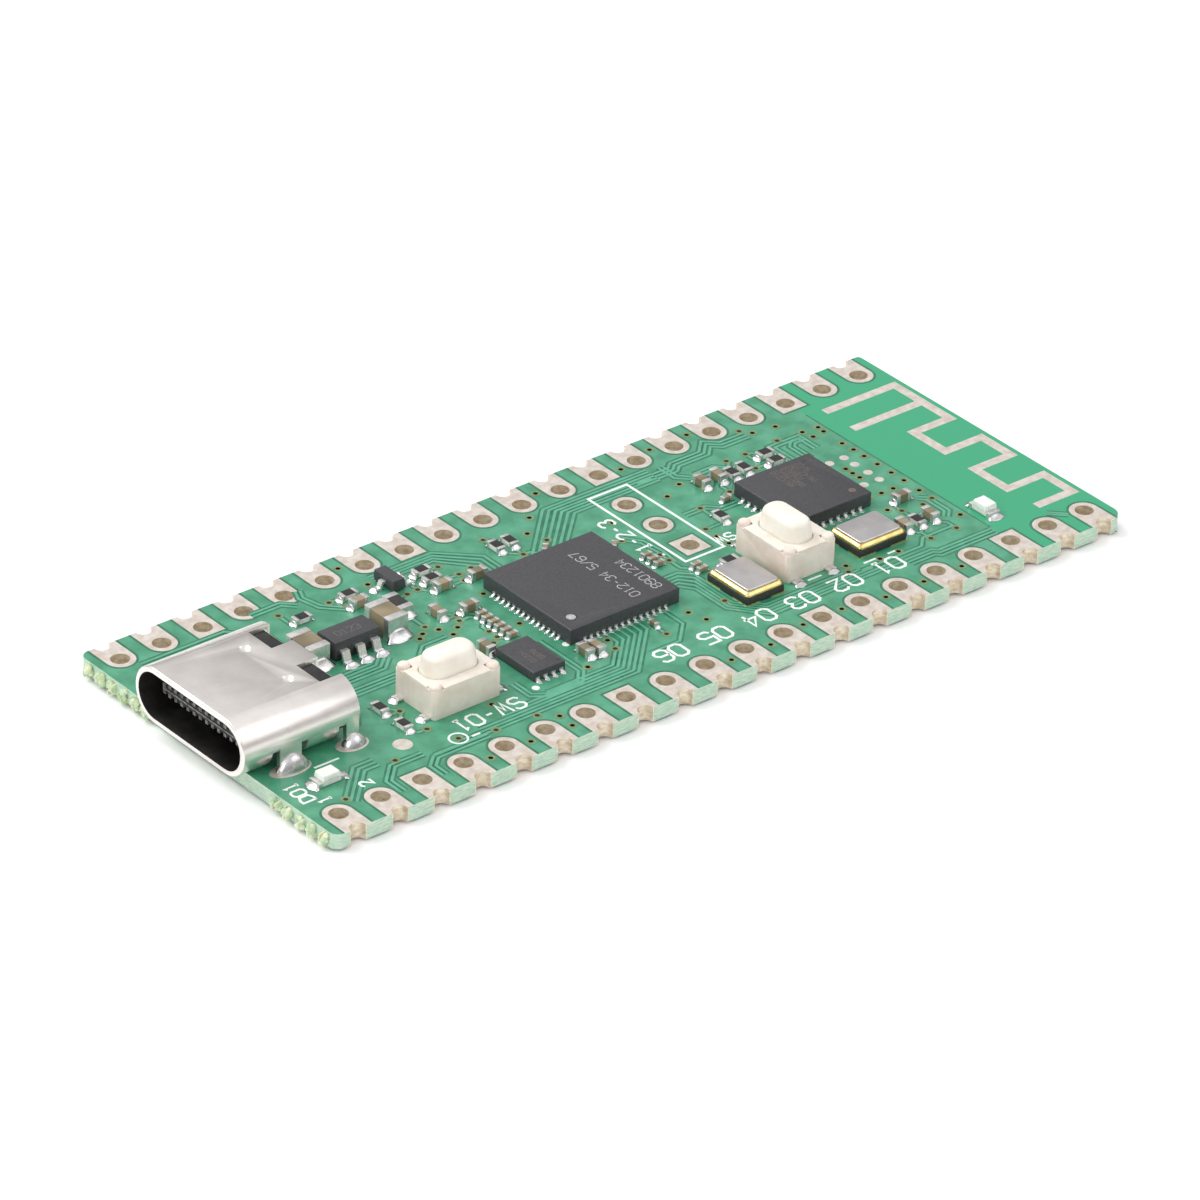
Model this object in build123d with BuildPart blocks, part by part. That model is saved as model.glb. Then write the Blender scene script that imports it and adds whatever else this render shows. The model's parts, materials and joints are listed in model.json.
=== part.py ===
from build123d import *
from math import asin, degrees
import os

# Microcontroller development board, modelled in millimetres.
# The origin is the centre of the underside, +X runs from the USB connector to the antenna,
# +Y runs across the board and +Z is up, away from the underside.

# ---------------------------------------------------------------- driving dimensions
# Bare board
board_length = 51.0
board_width = 20.9
board_thickness = 0.85
usb_corner_radius = 0.5
near_corner_radius = 0.8
far_corner_radius = 0.2

# Header pads along both long edges
pitch = 2.54
row_inset = 1.56
end_margin = 1.37
pad_width = 1.6
pin_hole_radius = 0.5
notch_radius = 0.45
copper = 0.04
plating = 0.05
square_pad_every = 5
first_square_pad = 3

# Three-hole debug header
debug_x = 5.6
debug_y = 3.11
debug_pad_radius = 0.78

# Antenna drawn in copper at the far end of the board
antenna_width = 0.55
antenna_edge = 0.55
antenna_sweep = 2.5
antenna_feed = 5.4
antenna_rows = (6.95, 2.5, 0.0, -2.3, -4.85, -7.05)
antenna_branch_row = 4.7

# USB connector
usb_width = 8.85
usb_height = 3.12
usb_depth = 7.05
usb_wall = 0.28
usb_overhang = 0.9
usb_centre = 0.08
usb_lift = 0.02
tongue_width = 6.7
tongue_thickness = 0.7
tongue_recess = 0.9
throat_depth = 4.9
mid_plate_thickness = 0.15
contact_width = 0.2
contact_thickness = 0.1
contact_rows = (-2.75, -1.25, -0.75, -0.25, 0.25, 0.75, 1.25, 2.75)
contact_stagger = 0.25
leg_setbacks = (2.85, 6.6)
leg_lengths = (1.3, 0.75)
leg_slot = 0.42
leg_hole_clearance = 0.15
leg_end_gap = 0.03
rear_notch_depth = 1.3
rear_notch_width = 1.9
rear_flap_width = 2.0
tail_opening = 0.5
tail_depth = 1.5
dimple_radius = 0.45
dimple_lift = 0.3
dimple_setback = 2.4
dimple_spacing = 3.5
contact_setback = 0.5
contact_drop = 0.3
contact_foot_length = 0.45
mid_plate_setback = 0.3
mid_plate_tail = 0.8
leg_solder_length = 0.5
leg_solder_width = 0.6
leg_solder_lean = 0.1
leg_solder_height = 0.45
leg_solder_taper = 38

# Push switches
switch_length = 4.2
switch_width = 3.2
switch_wall = 0.35
switch_floor = 0.35
switch_wall_height = 1.6
switch_corner = 0.2
cover_thickness = 0.1
post_size = 0.65
post_height = 0.3
button_length = 3.1
button_width = 1.75
button_corner = 0.45 * button_width
button_height = 2.75
button_taper = 9
button_rounding = 0.36
button_travel = 0.25
button_flange = 0.15
sliding_gap = 0.05
dome_radius = 1.05
dome_rise = 0.32
dome_thickness = 0.08
foot_width = 0.55
foot_reach = 0.35
foot_thickness = 0.15
foot_spacing = 2.2
foot_bury = 0.3
flange_thickness = 0.35
flange_extra_width = 0.1
nub_radius = 0.5
post_corner = 0.3
post_rounding = 0.2

# Moulded packages and ceramic parts
package_gap = 0.02
touch_gap = 0.01
mark_depth = 0.03
lead_reveal = 0.03
package_chamfer = 0.04
package_taper = 7
mark_share = 28
mark_inset = 3.5
resistor_size = (1.0, 0.5, 0.34)
resistor_cap_length = 0.2
glaze_bury = 0.02
glaze_thickness = 0.03
lens_taper = 8
lens_rounding = 0.06
lens_shortening = 0.55

# ---------------------------------------------------------------- places on the board
# Each place is x, y and the turn about the vertical in degrees.
mcu_place = (-2.0, 0.0, 0)
wifi_place = (13.1, 0.55, 180)
flash_place = (-8.15, -3.6, 90)
regulator_place = (-14.45, 2.95, 0)
transistor_place = (-9.13, 6.54, 90)
mcu_crystal_place = (5.2, -4.3, 90)
wifi_crystal_place = (13.2, -4.45, 0)
boot_place = (-13.27, -3.5, 0)
reset_place = (8.6, -3.35, 90)
inductor_places = [(-10.3, 4.35, 90)]
large_capacitor_places = [(-16.8, 3.2, 90), (-11.95, 3.15, 90)]
small_capacitor_places = [
    (-11.6, 5.85, 0), (-7.2, 4.65, 0), (-9.05, 2.7, 90), (-7.45, 2.2, 0), (-9.2, -1.42, 90),
    (-5.1, 4.5, 0), (-5.45, -4.6, 90), (-4.8, -4.7, 90), (9.95, 4.85, 90), (11.0, 4.8, 90),
    (17.2, -2.5, 0), (15.4, -4.75, 90), (17.2, -4.75, 90),
]
resistor_places = [
    (-14.8, 6.35, 0), (-11.55, 6.8, 0), (-7.17, 6.45, 0), (-7.2, 5.55, 0), (-16.9, -2.75, 90),
    (-16.9, -4.65, 90), (-2.6, 6.1, 90), (-1.75, 6.1, 90), (5.95, -2.1, 0), (11.8, 4.65, 90),
    (12.65, 4.7, 90), (14.5, 5.2, 0), (14.5, 4.3, 0), (8.5, 1.6, 90), (16.3, -4.75, 90),
]
tiny_capacitor_places = [
    (-7.3, 1.4, 0), (-7.3, 0.9, 0), (-7.3, 0.4, 0), (-7.3, -0.1, 0), (-7.3, -0.6, 0),
    (-7.3, -1.1, 0), (-0.7, 4.5, 45), (2.3, 2.65, 45), (3.0, 0.9, 0), (3.0, 0.4, 0),
    (3.0, -0.1, 0), (4.4, -1.35, 0), (4.4, -1.85, 0), (-0.95, -4.5, 90), (9.95, 2.9, 0),
]
test_pad_places = [(16.75, 2.65), (17.75, 2.65), (17.75, 1.8), (17.75, 0.75), (16.75, -0.1), (17.75, -0.15)]
test_pad_radius = 0.25
fiducial_place = (-17.85, -5.8)
fiducial_radius = 0.5
usb_led_setback = 2.7
usb_led_y = -6.25
status_led_setback = 5.55
status_led_y = -5.85

# ---------------------------------------------------------------- derived places
row_y = board_width / 2 - row_inset
pins_per_row = int((board_length - 2 * end_margin) / pitch + 0.001) + 1
square_pins = range(first_square_pad - 1, pins_per_row, square_pad_every)
usb_front = -board_length / 2 - usb_overhang
usb_rear = usb_front + usb_depth
usb_middle = board_thickness + usb_lift + usb_height / 2
leg_places = [(usb_front + setback, length) for setback, length in zip(leg_setbacks, leg_lengths)]


os.makedirs("parts", exist_ok=True)


def finish(piece, name):
    """Label a finished piece and write its STEP file."""
    piece.part.label = name
    export_step(piece.part, f"parts/{name}.step")


def seat(place, height=0.0):
    """A plane on top of the board, or above it, turned about the vertical."""
    x, y, turn = place
    return Plane((x, y, board_thickness + height), x_dir=Vector(1, 0, 0).rotate(Axis.Z, turn), z_dir=(0, 0, 1))


def pin_positions(pins):
    """Centres of the header holes with these numbers, counted from the USB end, in both rows."""
    first = -(pins_per_row - 1) * pitch / 2
    return [(first + pin * pitch, side * row_y) for side in (-1, 1) for pin in pins]


def edge_notches():
    """Centres of the half-round notches where the long edges cut through plated holes."""
    return [(x, board_width / 2 if y > 0 else -board_width / 2) for x, y in pin_positions(range(pins_per_row))]


# ---------------------------------------------------------------- bare board and its copper
with BuildSketch() as board_outline:
    Rectangle(board_length, board_width)
    fillet(board_outline.vertices().group_by(Axis.X)[0], usb_corner_radius)
    fillet(board_outline.vertices().group_by(Axis.X)[-1].sort_by(Axis.Y)[0], near_corner_radius)
    fillet(board_outline.vertices().group_by(Axis.X)[-1].sort_by(Axis.Y)[-1], far_corner_radius)

round_pins = [pin for pin in range(pins_per_row) if pin not in square_pins]
with BuildSketch() as pad_faces:
    with Locations(*pin_positions(round_pins)):
        Circle(pad_width / 2)
    for x, y in pin_positions(round_pins):
        with Locations((x, y + (row_inset / 2 if y > 0 else -row_inset / 2))):
            Rectangle(pad_width, row_inset)
    square_length = row_inset + pad_width / 2
    for x, y in pin_positions(square_pins):
        with Locations((x, (board_width - square_length) / 2 * (1 if y > 0 else -1))):
            Rectangle(pad_width, square_length)
    with Locations(*pin_positions(range(pins_per_row))):
        Circle(pin_hole_radius, mode=Mode.SUBTRACT)
    with Locations(*edge_notches()):
        Circle(notch_radius, mode=Mode.SUBTRACT)

with BuildSketch() as barrel_rings:
    with Locations(*pin_positions(range(pins_per_row))):
        Circle(pin_hole_radius + plating)
    with Locations(*edge_notches()):
        Circle(notch_radius + plating)
    with Locations(*pin_positions(range(pins_per_row))):
        Circle(pin_hole_radius, mode=Mode.SUBTRACT)
    with Locations(*edge_notches()):
        Circle(notch_radius, mode=Mode.SUBTRACT)
    add(board_outline.sketch, mode=Mode.INTERSECT)

with BuildPart() as header_pads:
    with BuildSketch():
        add(pad_faces.sketch)
    extrude(amount=copper)
    with BuildSketch(Plane.XY.offset(board_thickness - copper)):
        add(pad_faces.sketch)
    extrude(amount=copper)
    with BuildSketch():
        add(barrel_rings.sketch)
    extrude(amount=board_thickness)
finish(header_pads, "header_pads")

with BuildPart() as debug_header_pads:
    for base in (0, board_thickness - copper):
        with BuildSketch(Plane.XY.offset(base)):
            with Locations((debug_x, debug_y), (debug_x, debug_y + pitch)):
                Circle(debug_pad_radius)
            with Locations((debug_x, debug_y - pitch)):
                Rectangle(2 * debug_pad_radius, 2 * debug_pad_radius)
        extrude(amount=copper)
    with BuildSketch():
        with Locations((debug_x, debug_y)):
            with GridLocations(0, pitch, 1, 3):
                Circle(pin_hole_radius + plating)
    extrude(amount=board_thickness)
    with BuildSketch():
        with Locations((debug_x, debug_y)):
            with GridLocations(0, pitch, 1, 3):
                Circle(pin_hole_radius)
    extrude(amount=board_thickness, mode=Mode.SUBTRACT)
finish(debug_header_pads, "debug_header_pads")

with BuildPart() as antenna_trace:
    outer_x = board_length / 2 - antenna_edge
    inner_x = outer_x - antenna_sweep
    feed_x = board_length / 2 - antenna_feed
    corners = [(feed_x, antenna_rows[0])]
    for step, row in enumerate(antenna_rows):
        column = outer_x if step % 2 == 0 else inner_x
        next_column = inner_x if step % 2 == 0 else outer_x
        corners += [(column, row)] if step == 0 else [(next_column, row), (column, row)]
    with BuildSketch(Plane.XY.offset(board_thickness - copper)):
        with BuildLine():
            Polyline(*corners)
        trace(line_width=antenna_width)
        with BuildLine():
            Line((feed_x, antenna_branch_row), (outer_x, antenna_branch_row))
        trace(line_width=antenna_width)
    extrude(amount=copper)
finish(antenna_trace, "antenna_trace")

with BuildPart() as test_pads:
    with BuildSketch(Plane.XY.offset(board_thickness - copper)):
        with Locations(*test_pad_places):
            Circle(test_pad_radius)
        with Locations(fiducial_place):
            Circle(fiducial_radius)
    extrude(amount=copper)
finish(test_pads, "test_pads")

with BuildPart() as circuit_board:
    with BuildSketch():
        add(board_outline.sketch)
        with Locations(*pin_positions(range(pins_per_row))):
            Circle(pin_hole_radius + plating, mode=Mode.SUBTRACT)
        with Locations(*edge_notches()):
            Circle(notch_radius + plating, mode=Mode.SUBTRACT)
        with Locations((debug_x, debug_y)):
            with GridLocations(0, pitch, 1, 3):
                Circle(pin_hole_radius + plating, mode=Mode.SUBTRACT)
        for leg_x, leg_length in leg_places:
            with Locations((leg_x, usb_centre)):
                with GridLocations(0, usb_width - usb_wall, 1, 2):
                    SlotOverall(
                        leg_length + 2 * leg_hole_clearance + usb_wall,
                        usb_wall + 2 * leg_hole_clearance,
                        mode=Mode.SUBTRACT,
                    )
    extrude(amount=board_thickness)
    add(header_pads.part, mode=Mode.SUBTRACT)
    add(debug_header_pads.part, mode=Mode.SUBTRACT)
    add(antenna_trace.part, mode=Mode.SUBTRACT)
    add(test_pads.part, mode=Mode.SUBTRACT)
finish(circuit_board, "circuit_board")

# ---------------------------------------------------------------- USB connector
usb_section = Plane((usb_front, usb_centre, usb_middle), x_dir=(0, 1, 0), z_dir=(1, 0, 0))
inner_width = usb_width - 2 * usb_wall
inner_height = usb_height - 2 * usb_wall
tail_half_width = max(contact_rows) + contact_stagger + 2 * contact_width

with BuildPart() as usb_shell:
    with BuildSketch(usb_section):
        SlotOverall(usb_width, usb_height)
    extrude(amount=usb_depth)
    fillet(usb_shell.faces().sort_by(Axis.X)[0].edges(), usb_wall / 3)
    with BuildSketch(usb_section):
        SlotOverall(inner_width, inner_height)
    extrude(amount=usb_depth - usb_wall, mode=Mode.SUBTRACT)
    # The lower rear corner is open, so that the contact tails reach the board.
    with BuildSketch(Plane.XY.offset(board_thickness)):
        with Locations((usb_rear - tail_depth / 2, usb_centre)):
            Rectangle(tail_depth, 2 * tail_half_width)
    extrude(amount=tail_opening, mode=Mode.SUBTRACT)
    # Two relief notches in the top leave a middle flap that folds down over the rear.
    with BuildSketch(Plane.XY.offset(usb_middle + inner_height / 2 - usb_wall)):
        notch_spacing = rear_flap_width + rear_notch_width
        with Locations((usb_rear - rear_notch_depth / 2, usb_centre)):
            with GridLocations(0, notch_spacing, 1, 2):
                Rectangle(rear_notch_depth, rear_notch_width)
    extrude(amount=3 * usb_wall, mode=Mode.SUBTRACT)
    # Windows in the lower side walls free the soldered legs from the curled-under wall.
    for leg_x, leg_length in leg_places:
        with BuildSketch(Plane.XY.offset(board_thickness)):
            with Locations((leg_x, usb_centre)):
                with GridLocations(0, usb_width - usb_height / 2, 1, 2):
                    Rectangle(leg_length + 2 * leg_slot, usb_height / 2 + 0.1)
        extrude(amount=usb_height / 2 - usb_wall, mode=Mode.SUBTRACT)
        with BuildSketch(Plane.XY.offset(leg_end_gap)):
            with Locations((leg_x, usb_centre)):
                with GridLocations(0, usb_width - usb_wall, 1, 2):
                    Rectangle(leg_length, usb_wall)
        extrude(amount=usb_middle - leg_end_gap)
    # Small round dimples pressed into the top.
    with Locations((usb_rear - dimple_setback, usb_centre, usb_middle + usb_height / 2 + dimple_lift)):
        with GridLocations(0, dimple_spacing, 1, 2):
            Sphere(dimple_radius, mode=Mode.SUBTRACT)
finish(usb_shell, "usb_shell")

throat_x = usb_front + throat_depth
drop_x = usb_rear - usb_wall - contact_drop
foot_end_x = usb_rear + contact_foot_length
contact_start_x = usb_front + tongue_recess + contact_setback

# Each contact is a flat strip along the tongue, which drops behind it and ends in a foot on the board.
contact_seats = [(usb_centre + row, 1) for row in contact_rows]
contact_seats += [(usb_centre + row + contact_stagger, -1) for row in contact_rows]
contact_foot = board_thickness + touch_gap
with BuildPart() as usb_contacts:
    for contact_y, side in contact_seats:
        level = usb_middle + side * (tongue_thickness - contact_thickness) / 2 - contact_thickness / 2
        drop = drop_x if side > 0 else drop_x - 3 * contact_thickness
        with BuildSketch(Plane((0, contact_y, 0), x_dir=(1, 0, 0), z_dir=(0, -1, 0))):
            with BuildLine():
                Polyline(
                    (contact_start_x, level),
                    (drop - contact_thickness, level),
                    (drop - contact_thickness, contact_foot),
                    (foot_end_x, contact_foot),
                    (foot_end_x, contact_foot + contact_thickness),
                    (drop, contact_foot + contact_thickness),
                    (drop, level + contact_thickness),
                    (contact_start_x, level + contact_thickness),
                    close=True,
                )
            make_face()
        extrude(amount=contact_width / 2, both=True)
finish(usb_contacts, "usb_contacts")

with BuildPart() as usb_mid_plate:
    with BuildSketch(Plane.XY.offset(usb_middle - mid_plate_thickness / 2)):
        plate_front = usb_front + tongue_recess + mid_plate_setback
        plate_rear = throat_x + mid_plate_tail
        with Locations(((plate_front + plate_rear) / 2, usb_centre)):
            Rectangle(plate_rear - plate_front, tongue_width - 2 * mid_plate_setback)
    extrude(amount=mid_plate_thickness)
finish(usb_mid_plate, "usb_mid_plate")

with BuildPart() as usb_insulator:
    with BuildSketch(usb_section.offset(throat_depth)):
        SlotOverall(inner_width - 2 * touch_gap, inner_height - 2 * touch_gap)
    extrude(amount=usb_depth - usb_wall - throat_depth - touch_gap)
    with BuildSketch(usb_section.offset(tongue_recess)):
        RectangleRounded(tongue_width, tongue_thickness, tongue_thickness / 4)
    extrude(amount=throat_depth - tongue_recess)
    chamfer(usb_insulator.faces().sort_by(Axis.X)[0].edges(), tongue_thickness / 5)
    add(usb_mid_plate.part, mode=Mode.SUBTRACT)
    add(usb_contacts.part, mode=Mode.SUBTRACT)
finish(usb_insulator, "usb_insulator")

with BuildPart() as usb_leg_solder:
    for leg_x, leg_length in leg_places:
        hole_length = leg_length + 2 * leg_hole_clearance + usb_wall
        hole_width = usb_wall + 2 * leg_hole_clearance
        for side in (-1, 1):
            leg_y = usb_centre + side * (usb_width - usb_wall) / 2
            with BuildSketch(Plane((leg_x, leg_y, 0))):
                SlotOverall(hole_length, hole_width)
            extrude(amount=board_thickness)
            with BuildSketch(Plane((leg_x, leg_y + side * leg_solder_lean, board_thickness))):
                SlotOverall(hole_length + leg_solder_length, hole_width + leg_solder_width)
            extrude(amount=leg_solder_height, taper=leg_solder_taper)
    add(usb_shell.part, mode=Mode.SUBTRACT)
    add(usb_insulator.part, mode=Mode.SUBTRACT)
finish(usb_leg_solder, "usb_leg_solder")


# ---------------------------------------------------------------- leadless packages
def flat_package(place, size, height, pads, pad_pitch, pad_size, slug):
    """A leadless package: a moulded block, the pads round its edge and the slug under it."""
    size_x, size_y = size
    pads_x, pads_y = pads
    pad_across, pad_along = pad_size
    pad_height = 0.2
    reach = pad_along + lead_reveal
    with BuildPart() as leads:
        with BuildSketch(seat(place, touch_gap)):
            for side in (-1, 1):
                if pads_x:
                    with Locations((0, side * (size_y / 2 + lead_reveal - reach / 2))):
                        with GridLocations(pad_pitch, 0, pads_x, 1):
                            Rectangle(pad_across, reach)
                if pads_y:
                    with Locations((side * (size_x / 2 + lead_reveal - reach / 2), 0)):
                        with GridLocations(0, pad_pitch, 1, pads_y):
                            Rectangle(reach, pad_across)
            if slug:
                Rectangle(*slug)
        extrude(amount=pad_height)
    with BuildPart() as body:
        with BuildSketch(seat(place, package_gap)):
            Rectangle(size_x, size_y)
        extrude(amount=height - package_gap)
        chamfer(body.faces().sort_by(Axis.Z)[-1].edges(), package_chamfer)
        mark = min(size) / mark_share
        with BuildSketch(seat(place, height - mark_depth)):
            with Locations((mark_inset * mark - size_x / 2, mark_inset * mark - size_y / 2)):
                Circle(mark)
        extrude(amount=2 * mark_depth, mode=Mode.SUBTRACT)
        add(leads.part, mode=Mode.SUBTRACT)
    return body, leads


mcu_body, mcu_leads = flat_package(mcu_place, (7.0, 7.0), 0.9, (14, 14), 0.4, (0.2, 0.4), (3.2, 3.2))
finish(mcu_body, "mcu_body")
finish(mcu_leads, "mcu_leads")

wifi_chip_body, wifi_chip_leads = flat_package(
    wifi_place, (5.0, 5.0), 0.85, (8, 8), 0.5, (0.25, 0.4), (3.4, 3.4)
)
finish(wifi_chip_body, "wifi_chip_body")
finish(wifi_chip_leads, "wifi_chip_leads")

flash_chip_body, flash_chip_leads = flat_package(flash_place, (3.0, 2.0), 0.55, (0, 4), 0.5, (0.25, 0.4), (0.2, 1.6))
finish(flash_chip_body, "flash_chip_body")
finish(flash_chip_leads, "flash_chip_leads")


# ---------------------------------------------------------------- packages with bent leads
def leaded_package(place, size, height, near_leads, far_leads, lead_width, reach):
    """A moulded block with drafted sides and bent leads along its two long sides."""
    length, width = size
    thickness = 0.14
    clearance = 0.08
    middle = (height + clearance) / 2
    bury = 0.15
    knee = width / 2 + 0.12
    foot_start = reach - 0.35
    base = seat(place)
    with BuildPart() as leads:
        for side, offsets in ((-1, near_leads), (1, far_leads)):
            for offset_along in offsets:
                origin = base.origin + base.x_dir * offset_along
                profile = Plane(origin, x_dir=base.y_dir * side, z_dir=base.x_dir * side)
                with BuildSketch(profile):
                    with BuildLine():
                        Polyline(
                            (width / 2 - bury, middle + thickness / 2),
                            (knee + 0.6 * thickness, middle + thickness / 2),
                            (foot_start + 0.6 * thickness, thickness + touch_gap),
                            (reach, thickness + touch_gap),
                            (reach, touch_gap),
                            (foot_start, touch_gap),
                            (knee, middle - thickness / 2),
                            (width / 2 - bury, middle - thickness / 2),
                            close=True,
                        )
                    make_face()
                extrude(amount=lead_width / 2, both=True)
    with BuildPart() as body:
        with BuildSketch(seat(place, middle)):
            Rectangle(length, width)
        extrude(amount=(height - clearance) / 2, both=True, taper=package_taper)
        add(leads.part, mode=Mode.SUBTRACT)
    return body, leads


regulator_body, regulator_leads = leaded_package(
    regulator_place, (2.9, 1.6), 1.1, (-0.95, 0, 0.95), (-0.95, 0, 0.95), 0.46, 1.45
)
finish(regulator_body, "regulator_body")
finish(regulator_leads, "regulator_leads")

transistor_body, transistor_leads = leaded_package(
    transistor_place, (1.66, 0.76), 0.7, (-0.45, 0.45), (0.0,), 0.32, 0.95
)
finish(transistor_body, "transistor_body")
finish(transistor_leads, "transistor_leads")


# ---------------------------------------------------------------- crystals
def crystal_pieces(place, name):
    """A ceramic tray with its terminals, the brazed ring, the lid and the quartz blank."""
    length, width = 3.2, 2.5
    tray_height, floor, ring_height, lid_thickness = 0.42, 0.2, 0.26, 0.12
    rim, ring_inset, ring_chamfer, lid_inset = 0.5, 0.03, 0.14, 0.2
    pad_length, pad_across, pad_height = 1.1, 0.9, 0.06
    with BuildPart() as terminals:
        with BuildSketch(seat(place, touch_gap)):
            with GridLocations(length - pad_length, width - pad_across, 2, 2):
                Rectangle(pad_length, pad_across)
        extrude(amount=pad_height)
    finish(terminals, f"{name}_terminals")
    with BuildPart() as tray:
        with BuildSketch(seat(place, package_gap)):
            RectangleRounded(length, width, 0.12)
        extrude(amount=tray_height - package_gap)
        with BuildSketch(seat(place, floor)):
            Rectangle(length - 2 * rim, width - 2 * rim)
        extrude(amount=tray_height - floor, mode=Mode.SUBTRACT)
        add(terminals.part, mode=Mode.SUBTRACT)
    finish(tray, f"{name}_tray")
    with BuildPart() as ring:
        with BuildSketch(seat(place, tray_height)):
            RectangleRounded(length - 2 * ring_inset, width - 2 * ring_inset, 0.25)
        extrude(amount=ring_height)
        chamfer(ring.faces().sort_by(Axis.Z)[-1].edges(), ring_chamfer)
        with BuildSketch(seat(place, tray_height)):
            Rectangle(length - 2 * rim, width - 2 * rim)
        extrude(amount=ring_height, mode=Mode.SUBTRACT)
    finish(ring, f"{name}_ring")
    with BuildPart() as lid:
        with BuildSketch(seat(place, tray_height + ring_height)):
            RectangleRounded(length - 2 * lid_inset, width - 2 * lid_inset, 0.25)
        extrude(amount=lid_thickness)
        fillet(lid.faces().sort_by(Axis.Z)[-1].edges(), lid_thickness / 2)
    finish(lid, f"{name}_lid")
    with BuildPart() as blank:
        with BuildSketch(seat(place, floor + 0.1)):
            Rectangle(length - 2 * rim - 0.4, width - 2 * rim - 0.3)
        extrude(amount=0.05)
        with BuildSketch(seat(place, floor)):
            with Locations((-(length - 2 * rim - 0.4) / 2 + 0.15, 0)):
                with GridLocations(0, width - 2 * rim - 0.7, 1, 2):
                    Rectangle(0.25, 0.3)
        extrude(amount=0.1)
    finish(blank, f"{name}_blank")


crystal_pieces(mcu_crystal_place, "mcu_crystal")
crystal_pieces(wifi_crystal_place, "wifi_crystal")


# ---------------------------------------------------------------- push switches
def switch_pieces(place, name):
    """A low push switch: housing, feet, snap dome, sliding button and the cover that keeps it in."""
    cavity_length = switch_length - 2 * switch_wall
    cavity_width = switch_width - 2 * switch_wall
    cover_top = switch_wall_height + cover_thickness
    post_spacing = (switch_length - post_size, switch_width - post_size)
    with BuildPart() as feet:
        foot_length = switch_wall + foot_reach + foot_bury
        with BuildSketch(seat(place, touch_gap)):
            with GridLocations(switch_length + 2 * foot_reach - foot_length, foot_spacing, 2, 2):
                Rectangle(foot_length, foot_width)
        extrude(amount=foot_thickness)
    finish(feet, f"{name}_feet")
    with BuildPart() as housing:
        with BuildSketch(seat(place, package_gap)):
            RectangleRounded(switch_length, switch_width, switch_corner)
        extrude(amount=switch_wall_height - package_gap)
        with BuildSketch(seat(place, switch_wall_height)):
            with GridLocations(*post_spacing, 2, 2):
                RectangleRounded(post_size, post_size, post_corner)
        extrude(amount=post_height)
        fillet(housing.faces().group_by(Axis.Z)[-1].edges(), post_rounding)
        with BuildSketch(seat(place, switch_floor)):
            RectangleRounded(cavity_length, cavity_width, switch_corner)
        extrude(amount=switch_wall_height - switch_floor, mode=Mode.SUBTRACT)
        add(feet.part, mode=Mode.SUBTRACT)
    finish(housing, f"{name}_housing")
    with BuildPart() as cover:
        with BuildSketch(seat(place, switch_wall_height)):
            RectangleRounded(switch_length - 2 * touch_gap, switch_width - 2 * touch_gap, switch_corner)
            RectangleRounded(
                button_length + 2 * sliding_gap,
                button_width + 2 * sliding_gap,
                button_corner + sliding_gap,
                mode=Mode.SUBTRACT,
            )
            with GridLocations(*post_spacing, 2, 2):
                Rectangle(post_size + 2 * touch_gap, post_size + 2 * touch_gap, mode=Mode.SUBTRACT)
        extrude(amount=cover_thickness)
    finish(cover, f"{name}_cover")
    with BuildPart() as button:
        flange_top = switch_wall_height - package_gap
        with BuildSketch(seat(place, flange_top - flange_thickness)):
            flange_width = button_width + 2 * button_flange + flange_extra_width
            RectangleRounded(button_length + 2 * button_flange, flange_width, button_corner)
        extrude(amount=flange_thickness)
        with BuildSketch(seat(place, flange_top)):
            RectangleRounded(button_length, button_width, button_corner)
        extrude(amount=cover_top - flange_top)
        with BuildSketch(seat(place, cover_top)):
            RectangleRounded(button_length, button_width, button_corner)
        extrude(amount=button_height - cover_top, taper=button_taper)
        fillet(button.faces().sort_by(Axis.Z)[-1].edges(), button_rounding)
        nub_end = switch_floor + dome_rise + dome_thickness + touch_gap
        with BuildSketch(seat(place, nub_end)):
            Circle(nub_radius)
        extrude(amount=flange_top - flange_thickness - nub_end)
    finish(button, f"{name}_button")
    # The dome is a thin shell between two arcs about one centre on the switch's axis.
    inner_radius = (dome_radius**2 + dome_rise**2) / (2 * dome_rise)
    outer_radius = inner_radius + dome_thickness
    half_angle = degrees(asin(dome_radius / inner_radius))
    arc_centre = (0, dome_rise - inner_radius)
    with BuildPart() as dome:
        side_plane = Plane(seat(place, switch_floor).origin, x_dir=(1, 0, 0), z_dir=(0, -1, 0))
        with BuildSketch(side_plane):
            with BuildLine():
                inner_arc = CenterArc(arc_centre, inner_radius, 90 - half_angle, half_angle)
                outer_arc = CenterArc(arc_centre, outer_radius, 90 - half_angle, half_angle)
                Line(inner_arc @ 0, outer_arc @ 0)
                Line(inner_arc @ 1, outer_arc @ 1)
            make_face()
        revolve(axis=Axis(seat(place).origin, (0, 0, 1)))
    finish(dome, f"{name}_dome")


switch_pieces(boot_place, "boot_switch")
switch_pieces(reset_place, "reset_switch")


# ---------------------------------------------------------------- chips with metal end caps
def capped_chips(places, size, cap_length, cap_thickness=0.02):
    """Ceramic blocks and the metal caps round their ends, one pair for each place."""
    length, width, height = size
    with BuildPart() as blocks:
        for place in places:
            with BuildSketch(seat(place, touch_gap + cap_thickness)):
                Rectangle(length - 2 * cap_thickness, width - 2 * cap_thickness)
            extrude(amount=height - 2 * cap_thickness)
    with BuildPart() as caps:
        for place in places:
            with BuildSketch(seat(place, touch_gap)):
                with GridLocations(length - cap_length, 0, 2, 1):
                    Rectangle(cap_length, width)
            extrude(amount=height)
        fillet(caps.edges().filter_by(Axis.Z), 2 * cap_thickness)
        add(blocks.part, mode=Mode.SUBTRACT)
    return blocks, caps


large_capacitor_blocks, large_capacitor_caps = capped_chips(large_capacitor_places, (2.0, 1.25, 1.25), 0.45)
finish(large_capacitor_blocks, "large_capacitor_blocks")
finish(large_capacitor_caps, "large_capacitor_caps")

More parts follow.
